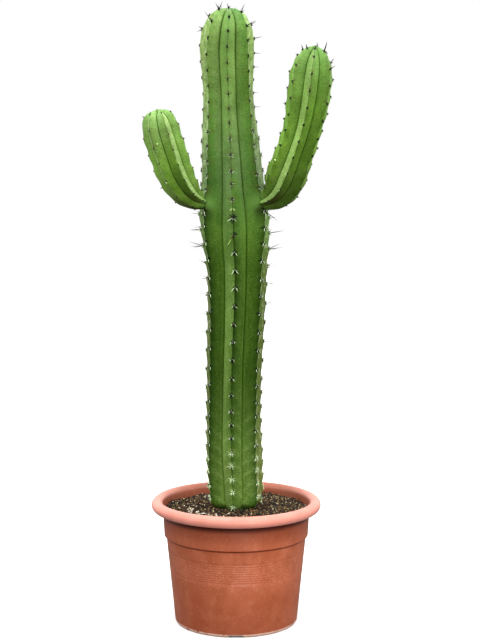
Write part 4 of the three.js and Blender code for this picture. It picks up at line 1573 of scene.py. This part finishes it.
def foot_notch(turn):
    """A block with sloping ends that cuts one notch through the foot."""
    half, top = NOTCH_WIDTH / 2, NOTCH_TOP_WIDTH / 2
    section = [
        (-half, -NOTCH_HEIGHT), (half, -NOTCH_HEIGHT), (half, 0),
        (top, NOTCH_HEIGHT), (-top, NOTCH_HEIGHT), (-half, 0),
    ]
    depths = (RECESS_RADIUS - WALL, FOOT_EDGE[0] + WALL)
    spin = np.array([[math.cos(turn), -math.sin(turn), 0], [math.sin(turn), math.cos(turn), 0], [0, 0, 1]])
    points = np.array([(x, -depth, z) for depth in depths for x, z in section]) @ spin.T
    return link_mesh("notch", points, capped_faces(2, len(section)))


def drain(turn):
    hole = turned("drain", [(DRAIN_RADIUS, -WALL), (DRAIN_RADIUS, 4 * WALL)], DRAIN_COLUMNS)
    place = np.array([math.sin(turn), -math.cos(turn), 0]) * DRAIN_CIRCLE * METRES
    for vertex in hole.data.vertices:
        vertex.co += Vector(place)
    return hole


# The studio


def make_camera():
    camera = bpy.data.objects.new("camera", bpy.data.cameras.new("camera"))
    camera.location = CAMERA_PLACE
    camera.rotation_euler = (math.radians(90 - CAMERA_DOWN), 0, 0)
    camera.data.sensor_width = CAMERA_SENSOR
    camera.data.lens = CAMERA_LENS
    camera.data.clip_end = 100
    bpy.context.scene.collection.objects.link(camera)
    bpy.context.scene.camera = camera
    bpy.context.scene.view_settings.view_transform = "Standard"


def make_lights():
    """Square soft boxes, and a soft beam that lights little more than the pot."""
    for name, box in SOFT_BOXES.items():
        lamp = bpy.data.lights.new(name, "AREA")
        lamp.shape = "SQUARE"
        lamp.size = box["size"]
        hang_light(lamp, box)
    beam = bpy.data.lights.new("pot_light", "SPOT")
    beam.spot_size = math.radians(POT_LIGHT["cone"])
    beam.spot_blend = 1.0
    beam.shadow_soft_size = POT_LIGHT["source"]
    hang_light(beam, POT_LIGHT)


def hang_light(lamp, given):
    """Hangs a lamp in its place, so that it faces its aim with its power."""
    lamp.energy = given["power"]
    light = bpy.data.objects.new(lamp.name, lamp)
    light.location = given["place"]
    facing = Vector(given["aim"]) - Vector(given["place"])
    light.rotation_euler = facing.to_track_quat("-Z", "Y").to_euler()
    bpy.context.scene.collection.objects.link(light)


def make_floor():
    """A wide pale floor. Its own light doesn't reach the plant, so the undersides stay dark."""
    corners = [(x * FLOOR_SIDE, y * FLOOR_SIDE, 0) for x, y in ((-1, -1), (1, -1), (1, 1), (-1, 1))]
    floor = link_mesh("floor", np.array(corners), [[0, 1, 2, 3]])
    paint = Paint("floor_paper", 0.9)
    paint.feed(paint.shader.inputs["Base Color"], paint.ramp(paint.grain(3, 2), FLOOR_COLOURS))
    floor.data.materials.append(paint.material)
    floor.visible_diffuse = False
    floor.visible_glossy = False
    floor.visible_shadow = False


def make_sky():
    """Plain white where the camera sees it, and soft light that comes mostly from above."""
    world = bpy.data.worlds.new("studio")
    world.use_nodes = True
    world.node_tree.nodes.clear()
    sky = Nodes(world.node_tree)
    parts = sky.add("SeparateXYZ")
    sky.feed(parts.inputs[0], sky.add("TexCoord").outputs["Generated"])
    x, y, z = parts.outputs
    upper = sky.spread(z, 0.0, 1.0, SKY_LEVEL, SKY_UP)
    lower = sky.spread(z, SKY_FADE, 0.0, SKY_BELOW, 1.0)
    level = sky.times(upper, lower)
    to_back = sky.times(sky.math("MAXIMUM", y, 0.0), SKY_BACK_GAIN)
    to_side = sky.times(sky.math("ABSOLUTE", x), SKY_SIDE_GAIN)
    strength = sky.times(level, sky.plus(to_back, to_side, SKY_FRONT))
    shown = sky.add("Mix")
    for socket, value in ((0, sky.add("LightPath").outputs["Is Camera Ray"]), (2, strength), (3, 1.0)):
        sky.feed(shown.inputs[socket], value)
    background = sky.add("Background")
    background.inputs["Color"].default_value = (1, 1, 1, 1)
    sky.feed(background.inputs["Strength"], shown.outputs[0])
    sky.feed(sky.add("OutputWorld").inputs[0], background.outputs[0])
    bpy.context.scene.world = world


# The whole


def make_plant(trunk):
    arms = [make_arm("left_arm", LEFT_ARM), make_arm("right_arm", RIGHT_ARM)]
    draw = np.random.default_rng(SPINE_SEED)
    finish_piece(make_body(trunk, arms), skin_material(), "cactus")
    areoles = all_areoles([trunk, *arms])
    pads = make_pads("areoles", areoles, [pad_size(areole) for areole in areoles], draw)
    finish_piece(pads, felt_material())
    yellow = bud_material()
    finish_piece(make_bud(areoles), yellow)
    specks = skin_spots(arms, SPECK_PIXELS)
    finish_piece(make_pads("specks", specks, [SPECK_SIZE] * len(specks), draw), yellow)
    for kind, rows in grow_spines(areoles, draw).items():
        finish_piece(make_needles(f"spines_{kind}", rows, draw), spine_material(kind))


def make_mix(trunk):
    draw = np.random.default_rng(SPINE_SEED + 1)
    earths = {name: earth_material(name) for name in EARTHS}
    finish_piece(make_soil(draw), earths["mix_dark"], "soil")
    for name, grains in GRAINS.items():
        finish_piece(make_grains(name, trunk, draw), earths[grains[4]], sharp=35)


make_camera()
make_floor()
make_sky()
make_lights()
finish_piece(make_pot(), pot_material(), "pot", sharp=40)
the_trunk = make_trunk()
make_plant(the_trunk)
make_mix(the_trunk)
